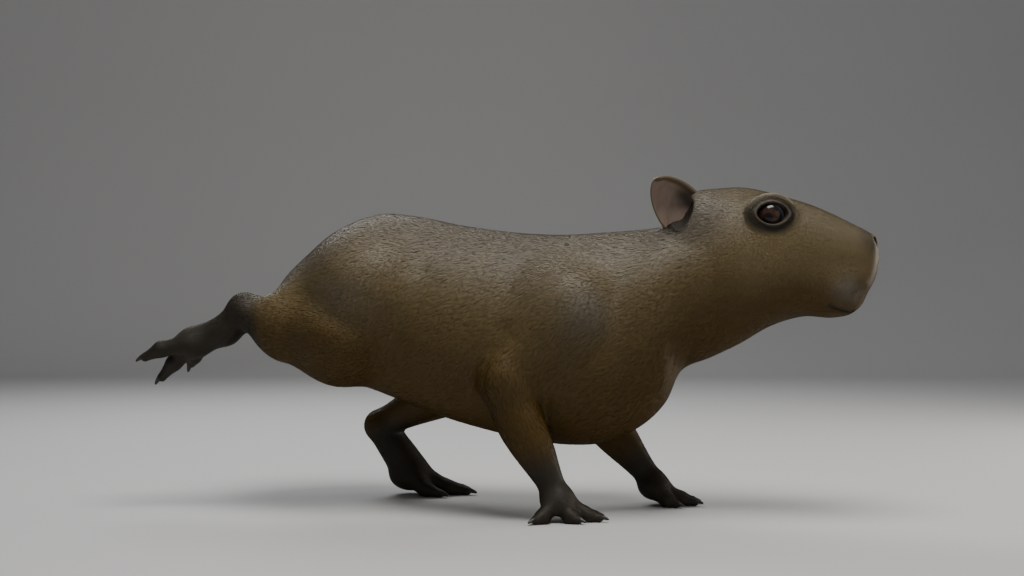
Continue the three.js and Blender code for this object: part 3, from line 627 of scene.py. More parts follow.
def skin_distance(p):
    """Distance to the skin under the coat, negative inside: the fur's outside less the coat's
    depth, with the lids, nostrils, mouth line and the cleft of the lip."""
    distance = fur_distance(p) + coat_depth(p)
    face = p[..., 0] > FACE_FROM
    if face.any():
        q = p[face]
        d = distance[face]
        near = away_from(q, EYE) < 75
        d[near] = d[near] - lid_folds(q[near])
        d = carve(d, lid_opening(q), 2.0)
        pit = (mirrored(q) - NOSTRIL) @ NOSTRIL_TURN.T
        d = melt(d, mass_distance(pit, *NOSTRIL_WING), 5)
        d = carve(d, mass_distance(pit, *NOSTRIL_HOLE), 1.6)
        d = d + 7.5 * hump(line_distance(q, MOUTH_LINE), 0, 3.2)
        d = d + 3.2 * hump(line_distance(q - (-4, 0, -10), MOUTH_LINE), 0, 8)
        d = d + 4.6 * hump(line_distance(q, CLEFT_LINE), 0, 2.6)
        distance[face] = d
    return np.maximum(distance, SOLE - p[..., 2])


# Meshes of a form


def steps(*stretches):
    """Grid lines: each stretch is its end and the greatest step to it from the last end."""
    lines = [np.array([stretches[0]], float)]
    for end, step in stretches[1:]:
        start = lines[-1][-1]
        count = max(1, int(np.ceil((end - start) / step)))
        lines.append(np.linspace(start, end, count + 1)[1:])
    return np.concatenate(lines)


def along_axis(values, lines, coarse, axis):
    """Values on coarse grid lines read off between them at finer lines, along one axis."""
    i = np.clip(np.searchsorted(coarse, lines, side="right") - 1, 0, len(coarse) - 2)
    t = (lines - coarse[i]) / (coarse[i + 1] - coarse[i])
    t = np.expand_dims(t, [n for n in range(3) if n != axis])
    return np.take(values, i, axis) * (1 - t) + np.take(values, i + 1, axis) * t


def grid_values(form, axes, stride=4, band=30):
    """Distances on a grid. Every stride-th line is worked out first, and then only the points
    that this puts within the band of the surface."""
    coarse = [np.unique(np.append(lines[::stride], lines[-1])) for lines in axes]
    values = form(np.stack(np.meshgrid(*coarse, indexing="ij"), -1))
    for n in range(3):
        values = along_axis(values, axes[n], coarse[n], n)
    i, j, k = np.nonzero(np.abs(values) < band)
    values[i, j, k] = form(np.stack([axes[0][i], axes[1][j], axes[2][k]], -1))
    return values


# All but the last and all but the first line of a grid
LOW, HIGH = slice(0, -1), slice(1, None)


def cut(values, *stretches):
    """Part of an array, cut along each given axis to a stretch of it."""
    slices = [slice(None)] * values.ndim
    for axis, stretch in stretches:
        slices[axis] = stretch
    return values[tuple(slices)]


def join_corners(values):
    """Where the corners of a grid square are inside and outside by turns, two sheets would
    share one edge. The nearer of its two outside corners is counted as inside instead."""
    for _ in range(6):
        changed = 0
        for u, v in ((1, 2), (0, 2), (0, 1)):
            ends = ((LOW, LOW), (HIGH, LOW), (HIGH, HIGH), (LOW, HIGH))
            parts = [cut(values, (u, a), (v, b)) for a, b in ends]
            inside = [part < 0 for part in parts]
            crossed = (inside[0] == inside[2]) & (inside[1] == inside[3]) & (inside[0] != inside[1])
            for first, second in ((0, 2), (1, 3)):
                bad = crossed & ~inside[first]
                nearer = parts[first] <= parts[second]
                parts[first][bad & nearer] = -1e-3
                parts[second][bad & ~nearer] = -1e-3
                changed += int(bad.sum())
        if not changed:
            break
    return values


def net(form, axes):
    """Mesh of the surface where a distance is zero: each grid cell that it crosses gets one
    vertex, at the mean of its crossings with the cell's edges, and each grid edge that it
    crosses gets one four-sided face."""
    values = join_corners(grid_values(form, axes))
    inside = values < 0
    corners = list(np.ndindex(2, 2, 2))
    counts = sum(cut(inside, *[(n, (LOW, HIGH)[k]) for n, k in enumerate(corner)]).astype(np.int8)
                 for corner in corners)
    active = (counts > 0) & (counts < 8)
    number = np.full(active.shape, -1)
    cells = np.argwhere(active)
    number[active] = np.arange(len(cells))
    total = np.zeros((len(cells), 3))
    found = np.zeros(len(cells))
    for corner in corners:
        for n in range(3):
            if corner[n]:
                continue
            first = cells + corner
            second = first + np.eye(3, dtype=int)[n]
            a, b = values[tuple(first.T)], values[tuple(second.T)]
            crossed = (a < 0) != (b < 0)
            t = np.where(crossed, a / np.where(crossed, a - b, 1), 0)
            start, end = (np.stack([axes[m][place[:, m]] for m in range(3)], 1) for place in (first, second))
            total += np.where(crossed[:, None], start + (end - start) * t[:, None], 0)
            found += crossed
    faces = []
    for n in range(3):
        right, up = (n + 1) % 3, (n + 2) % 3
        first = cut(inside, (n, LOW))
        edges = np.argwhere(first != cut(inside, (n, HIGH)))
        ring = []
        for r, u in ((-1, -1), (0, -1), (0, 0), (-1, 0)):
            cell = edges.copy()
            cell[:, right] += r
            cell[:, up] += u
            ring.append(number[tuple(cell.T)])
        ring = np.stack(ring, 1)
        out = first[tuple(edges.T)]
        ring[~out] = ring[~out][:, ::-1]
        faces.append(ring)
    return total / found[:, None], np.concatenate(faces)


def vertices_of(data):
    """Points of a mesh."""
    points = np.empty(len(data.vertices) * 3)
    data.vertices.foreach_get("co", points)
    return points.reshape(-1, 3)


def refined(points, faces, chosen, form, longest):
    """Edges chosen by a test of their middles split in two and the faces beside them to fit, and
    the chosen points drawn onto the form."""
    mesh = bmesh.new()
    data = bpy.data.meshes.new("refining")
    data.from_pydata(points, [], faces.tolist() if isinstance(faces, np.ndarray) else faces)
    mesh.from_mesh(data)
    mesh.edges.ensure_lookup_table()
    ends = np.array([[v.index for v in edge.verts] for edge in mesh.edges])
    middles = (points[ends[:, 0]] + points[ends[:, 1]]) / 2
    picked = [mesh.edges[i] for i in np.nonzero(chosen(middles))[0]]
    bmesh.ops.subdivide_edges(mesh, edges=picked, cuts=1, use_grid_fill=True)
    bmesh.ops.triangulate(mesh, faces=[face for face in mesh.faces if len(face.verts) > 4])
    mesh.to_mesh(data)
    mesh.free()
    points = vertices_of(data)
    faces = [tuple(face.vertices) for face in data.polygons]
    bpy.data.meshes.remove(data)
    near = chosen(points)
    points[near] = draw_to(points[near], form, longest)
    return points, faces


def to_frame(points):
    """Millimetres in the animal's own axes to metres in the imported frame."""
    return (points + SHIFT) * MM


def add_piece(name, points, faces, material, smooth=True):
    """Object at the origin with a mesh of these points (in metres) and faces, in one material."""
    data = bpy.data.meshes.new(name)
    if isinstance(faces, np.ndarray):
        data.vertices.add(len(points))
        data.vertices.foreach_set("co", np.asarray(points, np.float32).ravel())
        corners = faces.shape[1]
        data.loops.add(faces.size)
        data.loops.foreach_set("vertex_index", faces.astype(np.int32).ravel())
        data.polygons.add(len(faces))
        data.polygons.foreach_set("loop_start", np.arange(0, faces.size, corners, dtype=np.int32))
        data.update(calc_edges=True)
    else:
        data.from_pydata(points.tolist(), [], faces)
    data.polygons.foreach_set("use_smooth", np.full(len(data.polygons), smooth))
    data.validate()
    data.materials.append(material)
    piece = bpy.data.objects.new(name, data)
    bpy.context.scene.collection.objects.link(piece)
    return piece


def add_closed_piece(name, points, faces, material):
    """Closed piece from points in the animal's own axes, with its faces turned outwards."""
    piece = add_piece(name, to_frame(points), faces, material)
    mesh = bmesh.new()
    mesh.from_mesh(piece.data)
    bmesh.ops.recalc_face_normals(mesh, faces=mesh.faces)
    mesh.to_mesh(piece.data)
    mesh.free()
    return piece


def set_colours(piece, name, colours):
    """Three numbers on each vertex, kept as a colour attribute."""
    layer = piece.data.attributes.new(name, "FLOAT_COLOR", "POINT")
    full = np.ones((len(colours), 4), np.float32)
    full[:, :3] = colours
    layer.data.foreach_set("color", full.ravel())


def set_vectors(piece, name, vectors):
    """A direction on each vertex."""
    layer = piece.data.attributes.new(name, "FLOAT_VECTOR", "POINT")
    layer.data.foreach_set("vector", np.asarray(vectors, np.float32).ravel())


def closed_tube(place, around, along):
    """Points and faces of rings place(turn, share) from one end to the other, each end closed on
    the middle of its ring. turn and share are arrays from 0 to 1."""
    turn, share = np.meshgrid(np.arange(around) / around, np.linspace(0, 1, along + 1))
    rings = place(turn, share)
    ends = np.stack([rings[0].mean(0), rings[-1].mean(0)])
    points = np.concatenate([rings.reshape(-1, 3), ends])
    i = np.arange(around)
    after = (i + 1) % around
    row = np.arange(along)[:, None] * around
    sides = np.stack([row + i, row + after, row + after + around, row + i + around], -1).reshape(-1, 4)
    first, last = len(points) - 2, len(points) - 1
    start = np.stack([np.full(around, first), after, i], 1)
    end = np.stack([np.full(around, last), along * around + i, along * around + after], 1)
    return points, sides.tolist() + start.tolist() + end.tolist()


def joined(parts):
    """Points and faces of several meshes as one."""
    points, faces, base = [], [], 0
    for part_points, part_faces in parts:
        points.append(part_points)
        faces += [tuple(base + corner for corner in face) for face in part_faces]
        base += len(part_points)
    return np.concatenate(points), faces


# Colouring with painted light and shade, and lie of the coat, shared by skin and coat


def markings_and_shading(p):
    """Warmth, darkness and paleness of the colour at each point, from 0 to 1: warmer low on the body
    and painted darker there as shade; dark on feet, lower legs, nose and lips and round the eyes,
    with painted shade in the mouth line and the pits of the ears; greyer along the back and crown as
    a painted sheen, and on the shoulder, rump and upper lip as painted highlights."""
    x, z = p[..., 0], p[..., 2]
    top, bottom = trunk_at(x, 1), trunk_at(x, 2)
    height = (z - bottom) / np.maximum(top - bottom, 40)
    # Warmer low on the body, and painted darker there as shade
    warm_shade = 1 - ramp(height, 0.10, 0.84 - 0.30 * ramp(x, 410, 500))
    # Painted sheen: greyer and paler towards the top of the back and the crown, as if lit from above, less
    # on the head
    painted_sheen = ramp(height, 0.58, 1.02) * (1 - 0.5 * ramp(x, 380, 470))
    # Painted highlights on the shoulder, rump and upper lip, in the greyer colour of the painted sheen
    for centre, radius in HIGHLIGHT_SPOTS:
        painted_sheen = np.maximum(painted_sheen, hump(away_from(p, centre), 0, radius))
    foot, which = nearest_foot(p)
    start, end = np.array([leg["dark"] for leg in LEGS.values()]).T[:, which]
    across, up, _ = eye_side(p)
    ring = np.hypot(across / EYE_RING[0], up / EYE_RING[1])
    nose = size_of((mirrored(p) - NOSTRIL) * (0.8, 0.7, 1))
    dark = np.maximum.reduce([
        (1 - ramp(foot, start, end)) * ramp(-trunk_distance(p), 8, -14),
        (1 - ramp(ring, 0.84, 1.16)) * (away_from(p, EYE) < 90) * (0.92 - 0.22 * ramp(up, 6, 20)),
        (1 - ramp(nose, 12, 40)) * 0.72,
        # Dark lip skin along the mouth line, with painted shade in the crease of the line
        1 - ramp(line_distance(p, MOUTH_LINE), 2.5, 7.5),
        # Painted shade in the pits in front of the ears
        1 - ramp(ear_pit(p), 5, 13),
    ])
    return np.stack([warm_shade, np.clip(dark, 0, 1), painted_sheen], -1)


def lie_of_coat(p, normal):
    """Way in which the hair lies: backwards and a little down on head and trunk, down each bone
    of a leg, and forward along the toes, square to the normal."""
    x = p[..., 0]
    side = ramp(np.abs(p[..., 1]), 20, 120)
    base = np.stack([-np.ones_like(x), 0 * x, -0.12 - 0.45 * side], -1)
    base[..., 1] += 0.15 * np.sign(p[..., 1]) * ramp(x, 430, 640)
    weight = np.exp(-np.maximum(trunk_distance(p), 0) / 10)[..., None]
    total = unit(base) * (weight + 0.02)
    for leg in LEGS.values():
        for start, end, radii, swell, flat, _ in leg["bones"][1:]:
            near = np.exp(-np.maximum(limb_distance(p, start, end, radii, swell, flat), 0) / 9)
            outside = 1 - weight[..., 0] * 0.9
            total = total + unit(np.subtract(end, start)) * (near * outside)[..., None] * 1.6
        for joint, _, tip in leg["toes"]:
            near = np.exp(-np.maximum(limb_distance(p, joint, tip, (18, 10)), 0) / 6)
            total = total + unit(np.subtract(tip, joint)) * near[..., None] * 2.0
    total = total - (total * normal).sum(-1, keepdims=True) * normal
    return unit(total)


def ripple(p, size, seed):
    """Smooth waves between about -1 and 1 over space, of the given size in millimetres: the sum
    of five sine waves in seeded directions."""
    rng = np.random.default_rng(seed)
    ways = unit(rng.normal(size=(5, 3))) * (2 * np.pi / size) * rng.uniform(0.6, 1.5, (5, 1))
    shifts = rng.uniform(0, 2 * np.pi, 5)
    return np.sin(p @ ways.T + shifts).sum(-1) / 2.6


# Materials


def written(operation):
    """The two methods of an operator: with the amount on its left and on its right."""

    def forward(self, other):
        return self.maths(operation, other)

    def reflected(self, other):
        return self.shader.maths(operation, other, self)

    return forward, reflected


class Amount:
    """An output socket of a shader, on which sums, products and powers can be written."""

    __add__, __radd__ = written("ADD")
    __sub__, __rsub__ = written("SUBTRACT")
    __mul__, __rmul__ = written("MULTIPLY")
    __truediv__, __rtruediv__ = written("DIVIDE")
    __pow__, __rpow__ = written("POWER")

    def __init__(self, shader, socket):
        self.shader = shader
        self.socket = socket

    def maths(self, operation, *others):
        """A calculation that starts from this amount."""
        return self.shader.maths(operation, self, *others)

    def clamped(self):
        """The amount, no less than 0 and no more than 1."""
        return self.maths("MINIMUM", 1).maths("MAXIMUM", 0)

    def between(self, low, high):
        """Smooth step from 0 at low to 1 at high."""
        settings = {"interpolation_type": "SMOOTHSTEP"}
        return self.shader.node("ShaderNodeMapRange", settings, {"Value": self, 1: low, 2: high})


class Shader:
    """The node tree of one material, ended by a Principled shader whose plain numbers are set on
    its own sockets."""

    def __init__(self, name, **constants):
        self.material = bpy.data.materials.new(name)
        self.material.use_nodes = True
        self.tree = self.material.node_tree
        self.tree.nodes.clear()
        self.surface = self.tree.nodes.new("ShaderNodeBsdfPrincipled")
        output = self.tree.nodes.new("ShaderNodeOutputMaterial")
        self.tree.links.new(self.surface.outputs[0], output.inputs[0])
        for socket, value in constants.items():
            self.surface.inputs[socket.replace("_", " ")].default_value = value
        self.place = self.node("ShaderNodeTexCoord", {}, {}, "Object")

    def node(self, kind, settings, sockets, output=0):
        """A node with its settings, then the values or links of its sockets. Returns the amount
        at one output, or at several."""
        made = self.tree.nodes.new(kind)
        for key, value in settings.items():
            setattr(made, key, value)
        for key, value in sockets.items():
            socket = made.inputs[key]
            if isinstance(value, Amount):
                self.tree.links.new(value.socket, socket)
            else:
                socket.default_value = (*value, 1) if socket.type == "RGBA" else value
        if isinstance(output, tuple):
            return [Amount(self, made.outputs[n]) for n in output]
        return Amount(self, made.outputs[output])

    def maths(self, operation, *values):
        """A calculation on numbers."""
        return self.node("ShaderNodeMath", {"operation": operation}, dict(enumerate(values)))

    def vector_maths(self, operation, sockets):
        """A calculation on colours or vectors."""
        return self.node("ShaderNodeVectorMath", {"operation": operation}, sockets)

    def scaled(self, colour, amount):
        """Colour or vector times an amount."""
        return self.vector_maths("SCALE", {0: colour, "Scale": amount})

    def mix(self, first, second, share):
        """Colour between two colours by a share."""
        settings = {"data_type": "RGBA", "clamp_factor": True}
        return self.node("ShaderNodeMix", settings, {0: share, 6: first, 7: second}, 2)

    def stretched(self, *size):
        """Object coordinates divided by a size for each axis."""
        return self.node("ShaderNodeMapping", {}, {"Vector": self.place, "Scale": [1 / s for s in size]})

    def noise(self, size, detail=3, place=None):
        """Noise between 0 and 1 whose lumps are about size metres across."""
        sockets = {"Vector": place or self.place, "Scale": 1 / size, "Detail": detail, "Roughness": 0.55}
        return self.node("ShaderNodeTexNoise", {}, sockets)

    def attribute(self, name, output="Color"):
        """The colour or vector that a mesh keeps on its vertices."""
        return self.node("ShaderNodeAttribute", {"attribute_name": name}, {}, output)

    def parts(self, colour):
        """The three numbers of a colour."""
        return self.node("ShaderNodeSeparateColor", {}, {0: colour}, (0, 1, 2))

    def finish(self, colour, roughness, height=None, distance=0.001, strength=1.0):
        """Links what varies over the surface and returns the material."""
        self.tree.links.new(colour.socket, self.surface.inputs["Base Color"])
        self.tree.links.new(roughness.socket, self.surface.inputs["Roughness"])
        if height is not None:
            sockets = {"Strength": strength, "Distance": distance, "Height": height}
            bump = self.node("ShaderNodeBump", {}, sockets)
            self.tree.links.new(bump.socket, self.surface.inputs["Normal"])
        return self.material


def marked_colour(shader, colours):
    """Colour of the coat or skin from its colouring, with its darkness and its share low on the body:
    olive, warmer low down and painted darker there as shade, greyed along the back as a painted
    sheen and at the painted highlights, and darkened to the bare skin's colour, which is painted
    shade in the mouth line and the pits of the ears."""
    warm_shade, dark, painted_sheen = shader.parts(shader.attribute("marks_and_shading"))
    patch = shader.noise(0.07, 2)
    # Warmer and painted darker as shade low on the body
    colour = shader.mix(colours.coat, colours.warm_shade, (warm_shade + (patch - 0.5) * 0.35).clamped())
    # Painted sheen along the back and crown and painted highlights, towards the greyer colour
    colour = shader.mix(colour, colours.grey, (painted_sheen * 0.8 + (patch - 0.5) * 0.2).clamped())
    edge = shader.noise(0.006, 3)
    # Darkness: the bare skin's own colour, and painted shade in the mouth line and the pits of the ears
    darkness = (dark + (edge - 0.5) * 0.35 * (1 - dark) * dark * 4).clamped()
    return shader.mix(colour, colours.bare, darkness), dark, warm_shade


def skin_material(colours):
    """Skin: the coat's colours, painted a little lighter to offset the shadow of the tufts over it,
    combed by fine streaks along the lie of the hair, each the mean of five grains one after the
    other, and wrinkled and pebbled where it is bare."""
    shader = Shader("capybara_skin", Specular_IOR_Level=0.3)
    colour, dark, warm_shade = marked_colour(shader, colours)
    lie = shader.attribute("lie", "Vector")
    grain_size = 0.0016
    grains = []
    for share in (-2.0, -1.0, 0.0, 1.0, 2.0):
        moved = shader.vector_maths("ADD", {0: shader.place, 1: shader.scaled(lie, share * grain_size)})
        grains.append(shader.noise(grain_size, 2, moved))
    streak = sum(grains[1:], grains[0]) / len(grains)
    comb = (streak - 0.5) * 3.0 + 0.5
    pebble = shader.node("ShaderNodeTexVoronoi", {"feature": "DISTANCE_TO_EDGE"},
                         {"Vector": shader.place, "Scale": 420.0})
    creases = shader.noise(0.004, 4, shader.stretched(1.0, 1.0, 0.25))
    bare_height = pebble.between(0.0, 0.16) * 0.6 + creases * 0.8
    height = comb * (1 - dark) * 0.9 + bare_height * dark
    # Painted light: the skin is lifted above the coat's colour to offset the shadow of the tufts over it
    shade = 1.06 + comb.clamped() * 0.12 - dark * 0.2 + pebble.between(0.0, 0.1) * dark * 0.08
    roughness = 0.56 + (streak - 0.5) * 0.4 - dark * warm_shade * 0.2
    return shader.finish(shader.scaled(colour, shade), roughness, height, 0.0007, 0.7)


def coat_material(colours):
    """Hair: a little lighter from root to tip, and each tuft and clump of tufts a little lighter
    or darker than the next."""
    shader = Shader("capybara_coat", Specular_IOR_Level=0.28)
    colour, dark, _ = marked_colour(shader, colours)
    share, tone, clump = shader.parts(shader.attribute("strand"))
    shade = 0.92 + share.between(0.2, 0.8) * 0.08 + (tone - 0.5) * 0.16 + (clump - 0.5) * 0.08
    grain = shader.noise(0.003, 2)
    roughness = 0.46 + grain * 0.16 + dark * 0.04
    return shader.finish(shader.scaled(colour, shade), roughness, grain, 0.0002, 0.4)


def ear_material(colours):
    """Ear: grey-brown outside and at the rim, the coat's colour at its foot, tan in the cup, and
    near-black painted shade in the hollow by the head."""
    shader = Shader("capybara_ear", Specular_IOR_Level=0.4)
    share, cup, recess_shade = shader.parts(shader.attribute("leaf"))
    speckle = shader.noise(0.0025, 4)
    vein = shader.noise(0.012, 3, shader.stretched(1.0, 1.0, 2.2))
    outside = shader.mix(colours.ear_back, colours.coat, (0.6 - share * 0.5).clamped())
    inside = shader.mix(colours.ear_cup, colours.ear_back, vein.between(0.4, 0.8) * 0.35)
    # Painted shade in the hollow by the head, towards the pupil's near-black
    colour = shader.mix(shader.mix(outside, inside, cup), colours.pupil, recess_shade * 0.8)
    height = speckle * 0.5 + vein * 0.3
    shade, roughness = 0.9 + speckle * 0.2, 0.46 + speckle * 0.16
    return shader.finish(shader.scaled(colour, shade), roughness, height, 0.0005, 0.5)


def eye_material(colours):
    """Eye: black pupil, brown iris with lighter threads, painted shade over its upper part with
    painted blue-grey specks of reflection in it, and dark at its edge, then what shows of the
    white, all under a wet gloss. u and v are the places across and up from the middle of the
    pupil, seen along the gaze."""
    shader = Shader("capybara_eye", Coat_Weight=0.3, Coat_Roughness=0.04, Specular_IOR_Level=0.3, IOR=1.38)
    _, across, up = eye_axes()
    middle = ((EYE + SHIFT) * MM).tolist()
    x, y, z = shader.node("ShaderNodeSeparateXYZ", {}, {0: shader.place}, (0, 1, 2))
    off_side = (y - float(SHIFT[1] * MM)).maths("ABSOLUTE")
    off = (x - middle[0], off_side - float(EYE[1] * MM), z - middle[2])

    def along(axis):
        """Place along one direction from the middle of the nearer eye."""
        return off[0] * float(axis[0]) + off[1] * float(axis[1]) + off[2] * float(axis[2])

    pupil_off = 0.0085
    u, v = along(across) - pupil_off, along(up) + pupil_off
    radius = (u * u + v * v) ** 0.5
    spokes = shader.node("ShaderNodeCombineXYZ", {}, {0: v.maths("ARCTAN2", u) * 2.4, 1: radius * 90.0})
    threads = shader.noise(0.16, 4, spokes)
    blotch = shader.noise(0.004, 3)
    iris = shader.mix(colours.iris, colours.iris_light, threads.between(0.46, 0.74) * 0.7)
    # Painted shade over the upper part of the iris, under the lid
    shadow = along(up).between(-0.002, 0.014)
    iris = shader.mix(iris, colours.pupil, (blotch.between(0.5, 0.8) * 0.6 + shadow * 0.7).clamped())
    # Painted reflection: blue-grey specks in the upper iris
    reflection_speck = shader.noise(0.0017, 3)
    iris = shader.mix(iris, colours.eye_white_and_glint, reflection_speck.between(0.52, 0.68) * shadow * 0.8)
    colour = shader.mix(iris, colours.pupil, radius.between(0.0160, 0.0225) * 0.9)
    colour = shader.mix(colour, colours.eye_white_and_glint, radius.between(0.0265, 0.0290) * 0.35)
    colour = shader.mix(colour, colours.pupil, 1 - radius.between(0.0080, 0.0094))
    return shader.finish(colour, 0.12 + blotch * 0.06, threads, 0.0001, 0.1)


def nail_material(colours):
    """Horn: black-brown with fine streaks, greyer in worn patches."""
    shader = Shader("capybara_nail", Specular_IOR_Level=0.5)
    streak = shader.noise(0.0016, 4, shader.stretched(6.0, 1.0, 6.0))
    wear = shader.noise(0.005, 3)
    colour = shader.mix(colours.horn, colours.horn_worn, streak.between(0.4, 0.8) * 0.6)
    colour = shader.mix(colour, colours.horn_worn, wear.between(0.55, 0.8) * 0.5)
    return shader.finish(colour, 0.32 + wear * 0.25, streak, 0.0004, 0.5)


def whisker_material(colours):
    """Whisker: dark bristle, a little paler in places."""
    shader = Shader("capybara_whisker", Specular_IOR_Level=0.2)
    tone = shader.noise(0.01, 2)
    colour = shader.mix(colours.pupil, colours.horn_worn, tone.between(0.4, 0.8))
    return shader.finish(colour, 0.6 + tone * 0.1)


def floor_material(stage):
    """Floor and backdrop: plain light grey with a barely seen grain."""
    shader = Shader("stage_floor", Specular_IOR_Level=0.2)
    grain = shader.noise(0.6, 2)
    colour = shader.mix([0.97 * part for part in stage.floor], stage.floor, grain)
    return shader.finish(colour, 0.85 + grain * 0.05)


# Settings


def colour_setting(name, description, value):
    """A colour that the user can change."""
    return FloatVectorProperty(name=name, description=description, default=value, size=3, min=0, max=1,
                               subtype="COLOR")


def length_setting(name, description, value, low, high):
    """A length in metres between two bounds."""
    return FloatProperty(name=name, description=description, default=value, min=low, max=high, unit="LENGTH")


def power_setting(name, description, value):
    """The power or strength of a light, from 0 up."""
    return FloatProperty(name=name, description=description, default=value, min=0)


class ColourSettings(bpy.types.PropertyGroup):
    """Colours of the animal."""

    coat: colour_setting("Coat", "Main olive brown of the coat", (0.138, 0.101, 0.044))
    # Warm brown of the lower body, painted darker as shade
    warm_shade: colour_setting("Warm", "Coat low on the body", (0.078, 0.043, 0.005))
    # Colour of the painted sheen along the back and crown and of the painted highlights
    grey: colour_setting("Grey", "Coat along the back and crown", (0.158, 0.140, 0.114))
    bare: colour_setting("Bare skin", "Feet, nose and ring of the eyes", (0.030, 0.024, 0.016))
    ear_back: colour_setting("Ear", "Back of the ears", (0.092, 0.068, 0.042))
    ear_cup: colour_setting("Ear cup", "Inside of the ears", (0.270, 0.196, 0.152))
    iris: colour_setting("Iris", "Dark brown of the iris", (0.034, 0.013, 0.007))
    iris_light: colour_setting("Iris threads", "Lighter threads of the iris", (0.074, 0.027, 0.011))
    # Also the near-black of the painted shade in the ears and over the upper iris
    pupil: colour_setting("Pupil", "Pupil and edge of the iris", (0.006, 0.004, 0.003))
    # Also the colour of the painted reflection specks in the iris
    eye_white_and_glint: colour_setting("Eye white", "What shows round the iris", (0.100, 0.105, 0.130))
    horn: colour_setting("Horn", "Nails", (0.012, 0.010, 0.008))
    horn_worn: colour_setting("Worn horn", "Nails where they are worn", (0.040, 0.033, 0.026))


class CoatSettings(bpy.types.PropertyGroup):
    """Sizes of the hair."""

    body_length: length_setting("Body hair", "Length of the tufts on the trunk", 0.022, 0.01, 0.08)
    body_width: length_setting("Body tuft", "Width of the tufts on the trunk", 0.0014, 0.0005, 0.006)
    face_length: length_setting("Face hair", "Length of the tufts on the cheeks", 0.010, 0.003, 0.03)
    face_width: length_setting("Face tuft", "Width of the tufts on the cheeks", 0.0011, 0.0005, 0.004)
    cover: FloatProperty(name="Cover", description="Layers of tufts that lie over each place",
                         default=1.9, min=0.5, max=4.0)


class SkinSettings(bpy.types.PropertyGroup):
    """Fineness of the skin, and the whiskers that grow in it."""

    head_step: length_setting("Head step", "Mesh step on the head", 0.0042, 0.002, 0.01)
    body_step: length_setting("Body step", "Mesh step on the trunk", 0.0084, 0.004, 0.02)
    foot_step: length_setting("Foot step", "Mesh step on the feet", 0.0042, 0.002, 0.01)
    whiskers: IntProperty(name="Whiskers", description="Whiskers on each side of the muzzle",
                          default=14, min=0, max=80)


class StageSettings(bpy.types.PropertyGroup):
    """Floor, light and camera."""

    floor: colour_setting("Floor", "Colour of floor and backdrop", (0.46, 0.458, 0.452))
    distance: length_setting("Camera distance", "From the middle of the stride", 2.844, 1, 10)
    height: length_setting("Camera height", "Height of the level camera", 0.441, 0.05, 3)
    turn: FloatProperty(name="Camera turn", description="How far the camera stands towards the head",
                        default=float(np.radians(11.0)), min=-3.2, max=3.2, subtype="ANGLE")
    key: power_setting("Key light", "Power of the main light", 98.0)
    fill: power_setting("Fill light", "Power of the fill light", 9.0)
    back: power_setting("Back light", "Power of the light behind", 64.0)
    front: power_setting("Front light", "Power of the light before the nose", 42.0)
    sky: power_setting("Sky", "Strength of the even light", 0.25)


# Pieces


def skin_axes(skin):
    """Grid lines of the skin, closer at the head and the feet than along the trunk."""
    head, body, foot = skin.head_step / MM, skin.body_step / MM, skin.foot_step / MM
    leg = foot * 1.3
    x = steps(-752, (-590, foot), (-330, body), (-112, leg), (60, body), (366, leg), (726, head))
    y = steps(-226, (-84, foot * 1.2), (84, head * 1.25), (226, foot * 1.2))
    z = steps(-6, (62, foot), (240, body), (372, foot * 1.35), (640, head * 1.1))
    return [x, y, z]


FLESH = [f"{leg}_{part}" for leg in LEG_NAMES for part in ("foot", "lower", "upper")]
FLESH += ["head", "neck", "chest", "belly", "rump"]


def face_spots(lids, eye, nostril, mouth, cleft):
    """Test of which points lie that near, in millimetres, to the edge of the lids, and within
    reach of an eye, or to a nostril, the mouth line or the cleft of the lip."""

    def near(p):
        face = p[..., 0] > FACE_FROM
        q = p[face]
        spots = (away_from(q, EYE) < eye) & (np.abs(q[:, 1]) > 40) & (np.abs(lid_opening(q)) < lids)
        spots |= away_from(q, NOSTRIL) < nostril
        spots |= line_distance(q, MOUTH_LINE) < mouth
        spots |= line_distance(q, CLEFT_LINE) < cleft
        found = np.zeros(len(p), bool)
        found[face] = spots
        return found

    return near


class CAPY_OT_skin(bpy.types.Operator):
    """Builds the one skin that lies under the coat from head to toes."""

    bl_idname = "capy.skin"
    bl_label = "Skin"

    def execute(self, context):
        points, faces = net(skin_distance, skin_axes(context.scene.capy_skin))
        points = draw_to(points, skin_distance, 3.0, passes=2)
        points, faces = refined(points, faces, face_spots(26, 66, 24, 9, 8), skin_distance, 2.0)
        points, faces = refined(points, faces, face_spots(7, 50, 15, 5, 4), skin_distance, 1.0)
        piece = add_piece("skin", to_frame(points), faces, skin_material(context.scene.capy_colours))
        normal = unit(slope(skin_distance, points))
        set_colours(piece, "marks_and_shading", markings_and_shading(points))
        set_vectors(piece, "lie", lie_of_coat(points, normal))
        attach(piece, "root")
        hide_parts(*FLESH)
        return {"FINISHED"}


def coat_regions(p):
    """Name of the coat piece that each root belongs to."""
    x = p[:, 0]
    names = np.full(len(p), "rump", dtype=object)
    for start, name in ((-225, "belly"), (20, "chest"), (250, "neck"), (385, "head"), (560, "muzzle")):
        names[x > start] = name
    sides = names + np.where(p[:, 1] > 0, "_left", "_right")
    nearest = np.argmin([leg_distance(p, leg) for leg in LEGS.values()], 0)
    on_leg = (trunk_distance(p) > 26) & (x < 380)
    return np.where(on_leg, np.array(LEG_NAMES, dtype=object)[nearest], sides)


